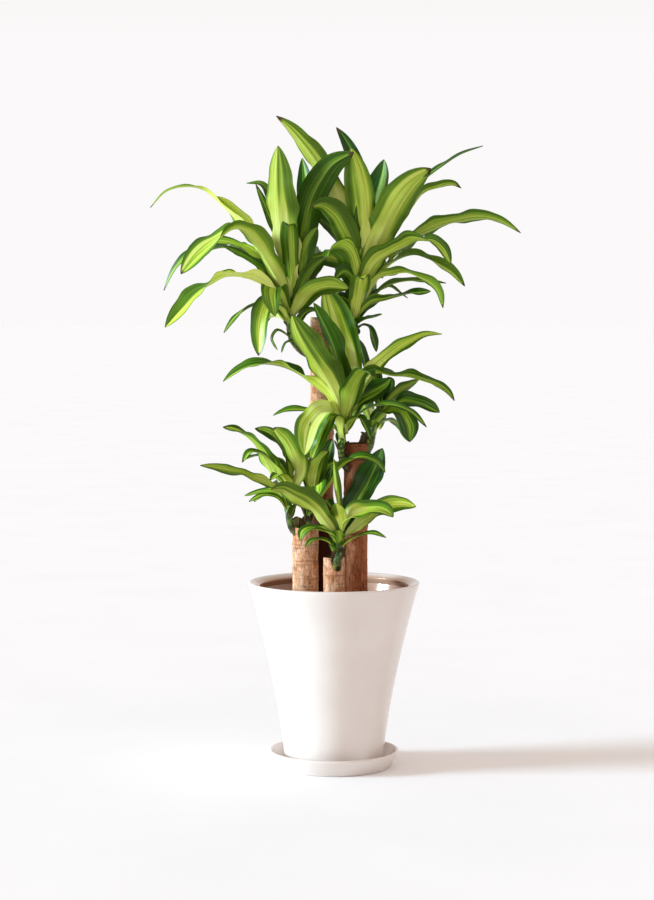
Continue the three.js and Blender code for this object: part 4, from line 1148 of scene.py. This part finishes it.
def leafy_stem():
    """A green shoot's stem, grown: waxy green with clouds about 9 mm wide, brown below, ringed by the
    lines of fallen leaves. Its greens are painted darker than a stem's own, as painted shade for the
    dim core of the plant."""
    material, put = new_material("green_shoot_stem")
    place = put("TexCoord").outputs["Object"]
    ring = put("Attribute", attribute_name="across").outputs["Fac"]
    along = put("Attribute", attribute_name="along").outputs["Fac"]
    clouds = put("TexNoise", {"Vector": place, "Scale": 1 / (9.09 * MM), "Detail": 4.0})
    # Painted shade: these greens are darker than the stem's own, for the shade in the plant's core.
    green = put("ValToRGB", {"Fac": clouds}, stops=((0.38, "22380e"), (0.5, "4c7420"), (0.62, "9cbc48")))
    brown = put("ValToRGB", {"Fac": clouds}, stops=((0.38, "1f1a0c"), (0.62, "5d4a24")))
    upper = put("MapRange", {"Value": along, "From Min": 0.1, "From Max": 0.5})
    grown = put("Mix", {0: upper, 6: brown, 7: green}, data_type="RGBA")
    line = put("MapRange", {"Value": ring, "From Min": 0.5, "From Max": 0.9, "To Max": 0.9})
    colour = put("Mix", {0: line, 6: grown.outputs[2], 7: linear("261d0e")}, data_type="RGBA")
    bump = put("Bump", {"Height": clouds, "Strength": 0.4, "Distance": 0.6 * MM})
    stem = put("BsdfPrincipled", {"Base Color": colour.outputs[2], "Roughness": 0.45, "Normal": bump})
    put("OutputMaterial", {"Surface": stem})
    return material


# ---- Leaves ----


def model_blade(face, back):
    """One flat blade, 2 wide and 2 long, with its midrib cut in as a channel."""
    bpy.ops.object.select_all(action="DESELECT")
    bpy.ops.mesh.primitive_grid_add(x_subdivisions=BLADE_ACROSS, y_subdivisions=BLADE_ALONG, size=2)
    blade = bpy.context.object
    start_edit()
    pick_edges(blade.data, lambda a, b: max(abs(a.x), abs(b.x)) < 1e-4)
    bpy.ops.mesh.bevel(offset=RIB_WIDTH, segments=2, affect="EDGES")
    pick_edges(blade.data, lambda a, b: max(abs(a.x), abs(b.x)) < 1e-4)
    bpy.ops.transform.translate(value=(0, 0, -1))
    end_edit(blade, "blade", face, back)
    points = points_of(blade.data)
    store(blade.data, "across", points[:, 0])
    store(blade.data, "along", (points[:, 1] + 1) / 2)
    rib = blade.vertex_groups.new(name="rib")
    rib.add([i for i, point in enumerate(points) if abs(point[0]) < 1e-4], 1.0, "REPLACE")
    return blade


def smooth_route(points, steps):
    """A smooth line through the points (a centripetal Catmull-Rom curve), as evenly spaced places, the
    directions there, and its length."""
    given = [np.array(p, float) for p in points]
    given = [2 * given[0] - given[1], *given, 2 * given[-1] - given[-2]]
    line = []
    for before, first, second, after in zip(given, given[1:], given[2:], given[3:]):
        legs = (first - before, second - first, after - second)
        past, span, coming = (max(np.linalg.norm(leg), 1e-6) ** 0.5 for leg in legs)
        straight = (second - first) / span
        slope_in = span * (legs[0] / past - (second - before) / (past + span) + straight)
        slope_out = span * (straight - (after - first) / (span + coming) + legs[2] / coming)
        for k in range(ROUTE_STEPS):
            t = k / ROUTE_STEPS
            line.append(
                first * (2 * t**3 - 3 * t**2 + 1)
                + slope_in * (t**3 - 2 * t**2 + t)
                + second * (3 * t**2 - 2 * t**3)
                + slope_out * (t**3 - t**2)
            )
    line = np.array([*line, given[-2]])
    reached = np.concatenate([[0], np.cumsum(np.linalg.norm(np.diff(line, axis=0), axis=1))])
    even = np.linspace(0, reached[-1], steps + 1)
    places = np.stack([np.interp(even, reached, line[:, k]) for k in range(3)], axis=1)
    directions = np.gradient(places, axis=0)
    return places, directions / np.linalg.norm(directions, axis=1)[:, None], reached[-1]


def carried(start, directions):
    """A direction square to the line at its start, carried along it without twisting."""
    found = []
    for along in directions:
        start = start - along * (start @ along)
        start = start / np.linalg.norm(start)
        found.append(start)
    return np.array(found)


def upper_faces(places, directions):
    """Where a blade's upper face points: at the foot, square to the midrib in line with its heading."""
    heading = (places[len(places) // 2] - places[0]) * (1, 1, 0)
    if np.linalg.norm(heading) < SHORTEST_HEADING:
        heading = (places[-1] - places[0]) * (1, 1, 0)
    heading = heading / np.linalg.norm(heading)
    first = directions[0]
    return carried(np.array((0, 0, first @ heading)) - heading * first[2], directions)


def breadth(place):
    """Width at a place along the blade, as a share of its full width: a narrow foot, then a lance."""
    if place < WIDEST:
        return FOOT_WIDTH + (1 - FOOT_WIDTH) * math.sin(math.pi / 2 * place / WIDEST) ** FOOT_CURVE
    past = (place - WIDEST) / (1 - WIDEST)
    return max(0.0, 1 - past**TIP_CURVE) ** TIP_POINT


def turn_at(turns, place):
    """The turn at the foot, the middle and the tip, easing from each to the next."""
    half = int(place >= 0.5)
    start, end = turns[half : half + 2]
    return math.radians(start + (end - start) * eased(place * 2 - half))


def turned_about(vector, axis, angle):
    return (
        vector * math.cos(angle)
        + np.cross(axis, vector) * math.sin(angle)
        + axis * (axis @ vector) * (1 - math.cos(angle))
    )


def blade_sections(route, width, turns, phase):
    """For each step along a blade: its midrib's place, its sideways and upward directions, half its
    width, its fold, the waves of its left and right margin, and how far its margins clasp the stem."""
    places, directions, length = smooth_route(route, BLADE_ALONG)
    ups = upper_faces(places, directions)
    middle = BLADE_ALONG // 2
    sense = 1 if np.cross(directions[middle], ups[middle])[1] <= BACKWARD else -1
    ripple = RIPPLE * min(1, width / RIPPLE_WIDTH)
    sections = []
    for i in range(BLADE_ALONG + 1):
        share = i / BLADE_ALONG
        up = turned_about(ups[i], directions[i], sense * turn_at(turns, share))
        half = max(width / 2 * breadth(share), TIP_WIDTH / 2)
        clasp = CLASP * (1 - eased(share / CLASP_LENGTH))
        fold = (FOLD * (1 - share) ** 2 + FOLD_TIP) * half
        swell = ripple * math.sin(math.pi * min(1, share * RIPPLE_END)) ** RIPPLE_SHAPE
        waves = []
        for shift in (0, PHASE_ACROSS):
            wave = math.sin(2 * math.pi * (share * length / WAVE + phase + shift))
            crimp = math.sin(2 * math.pi * (share * length / CRIMP_LENGTH + 3 * (phase + shift)))
            waves.append(swell * (wave + crimp * CRIMP / RIPPLE))
        sections.append((*places[i], *np.cross(directions[i], up), *up, half, fold, *waves, clasp * half))
    return np.array(sections)


def lay_blade(blade, route, width, stripe, pale, turns, phase, dry):
    """A copy of the flat blade, laid along its midrib."""
    mesh = blade.data.copy()
    points = points_of(mesh)
    sections = blade_sections(route, width, turns, phase)
    rows = sections[np.rint((points[:, 1] + 1) / 2 * BLADE_ALONG).astype(int)]
    across = points[:, 0]
    half, fold = rows[:, 9], rows[:, 10]
    wave = np.where(across > 0, rows[:, 12], rows[:, 11])
    rise = fold * (np.abs(across) ** FOLD_ROUNDING - FOLD_MIDDLE) + rows[:, 13] * np.abs(across)
    rise += wave * across**2 + points[:, 2] * RIB_DROP * half / (half + 4)
    laid = rows[:, 0:3] + rows[:, 3:6] * (across * half)[:, None] + rows[:, 6:9] * rise[:, None]
    move_points(mesh, laid * MM)
    store(mesh, "leaf", np.tile((stripe, phase % 1, dry), (len(points), 1)))
    store(mesh, "pale", np.full(len(points), pale))
    leaf = bpy.data.objects.new("leaf", mesh)
    bpy.context.scene.collection.objects.link(leaf)
    return leaf


def arched_route(foot, heading, length, rise_foot, rise_tip):
    """The midrib of an arched leaf: it starts at one rise and ends at the other, in one heading."""
    route = [np.array(foot)]
    span = length / (ARCH_POINTS - 1)
    turn = math.radians(heading)
    for i in range(1, ARCH_POINTS):
        rise = math.radians(rise_foot + (rise_tip - rise_foot) * (i - 0.5) / (ARCH_POINTS - 1))
        level = span * math.cos(rise)
        step = (level * math.cos(turn), level * math.sin(turn), span * math.sin(rise))
        route.append(route[-1] + step)
    return route


def make_stem(places, directions, length, radii, material):
    """A shoot's stem: a cylinder divided into fine rings, laid along the midline and ringed."""
    steps = round(length / STEM_STEP)
    bpy.ops.object.select_all(action="DESELECT")
    bpy.ops.mesh.primitive_cylinder_add(vertices=STEM_SIDES, radius=1, depth=1)
    stem = bpy.context.object
    start_edit()
    pick_edges(stem.data, lambda a, b: abs(a.z - b.z) > 0.5)
    bpy.ops.mesh.subdivide(number_cuts=steps - 1)
    end_edit(stem, "stem", material)
    points = points_of(stem.data)
    shares = points[:, 2] + 0.5
    index = np.rint(shares * (len(places) - 1)).astype(int)
    sides = carried(np.array((1.0, 0, 0)), directions)
    ups = np.cross(directions, sides)
    ring = (shares * length / NODE_PITCH) % 1
    reach = (radii[0] + (radii[1] - radii[0]) * shares) * (1 + NODE_RISE * ring)
    around = sides[index] * points[:, :1] + ups[index] * points[:, 1:2]
    move_points(stem.data, (places[index] + around * reach[:, None]) * MM)
    store(stem.data, "across", ring)
    store(stem.data, "along", shares)
    return stem


def dried_scales(draw, midline):
    """Rows for the short dried scales at the foot of a shoot: the stumps of its first leaves."""
    rows = []
    for k in range(SCALES):
        place = SCALE_FROM + SCALE_APART * k
        heading, length = draw.uniform(0, 360), draw.uniform(*SCALE_LENGTHS)
        route = arched_route(midline(place), heading, length, SCALE_RISE, draw.uniform(*SCALE_TIP_RISES))
        rows.append((route, draw.uniform(*SCALE_WIDTHS), SCALE_STRIPE, 0, FLAT, draw.uniform(*SCALE_DRY)))
    return rows


def sheaths(draw, midline, radius):
    """Rows for the leaf feet that clasp the stem below its leaves, each a step round from the last."""
    rows = []
    first = draw.uniform(0, 360)
    for k in range(SHEATHS):
        place = SHEATH_FROM + SHEATH_SPAN * k / SHEATHS
        rise, length = draw.uniform(*SHEATH_RISES), draw.uniform(*SHEATH_LENGTHS)
        rise_tip = draw.uniform(*SHEATH_TIP_RISES)
        way = arched_route(midline(place), first + SHEATH_TURN * k, length, rise, rise_tip)
        width, stripe = radius * draw.uniform(*SHEATH_WIDTHS), draw.uniform(*SHEATH_STRIPES)
        pale, dry = draw.random() / 2, SHEATH_DRY[min(k, len(SHEATH_DRY) - 1)]
        rows.append((way, width, stripe, pale, FLAT, dry))
    return rows


def make_shoot(name, shoot, blade, stem_material, draw):
    """A leafy shoot: its leaves are laid along their midribs and thickened, and joined to their stem."""
    _, _, length = smooth_route(shoot["stem"], 4)
    places, directions, length = smooth_route(shoot["stem"], round(length / STEM_STEP))

    def midline(place):
        spot = place * (len(places) - 1)
        return [np.interp(spot, range(len(places)), places[:, k]) for k in range(3)]

    rows = [
        ([midline(place), *route], width, stripe, pale, turns, draw.uniform(*DRY_TIPS))
        for place, width, stripe, pale, turns, *route in shoot["leaves"]
    ]
    for place, width, *way in shoot["arched"]:
        stripe, pale, dry = draw.uniform(*ARCHED_STRIPES), draw.random(), draw.uniform(*DRY_TIPS)
        rows.append((arched_route(midline(place), *way), width, stripe, pale, FLAT, dry))
    rows += sheaths(draw, midline, shoot["radius"][0])
    rows += dried_scales(draw, midline)
    leaves = [
        lay_blade(blade, route, width, stripe, pale, turns, k * PHASE_STEP, dry)
        for k, (route, width, stripe, pale, turns, dry) in enumerate(rows)
    ]
    foliage = joined(leaves, "leafy_shoot_" + name)
    skin = foliage.modifiers.new("thickness", "SOLIDIFY")
    skin.thickness, skin.offset = BLADE_THICKNESS, -1
    skin.vertex_group, skin.thickness_vertex_group = "rib", EDGE_THICKNESS
    skin.material_offset = 1
    bpy.ops.object.modifier_apply(modifier=skin.name)
    stem = make_stem(places, directions, length, shoot["radius"], stem_material)
    whole = joined([foliage, stem], foliage.name)
    smooth(whole, SHOOT_SHARP)
    dress(whole, "leaf", "shoot_" + name)


# ---- The plant in its pot ----

place_camera()
place_key_light()
fill_air()
lay_paper()

glaze = cream_glaze()
make_saucer(glaze)
make_pot(glaze)
make_soil(potting_soil())

bark, sawn = corn_cane_bark(), sawn_cane_end()
for cane in cane_boxes():
    make_cane(*cane, bark, sawn)

blade = model_blade(leaf_face(), leaf_back())
stem_material = leafy_stem()
for number, (name, shoot) in enumerate(SHOOTS.items()):
    make_shoot(name, shoot, blade, stem_material, random.Random(number + 1))
bpy.data.objects.remove(blade)
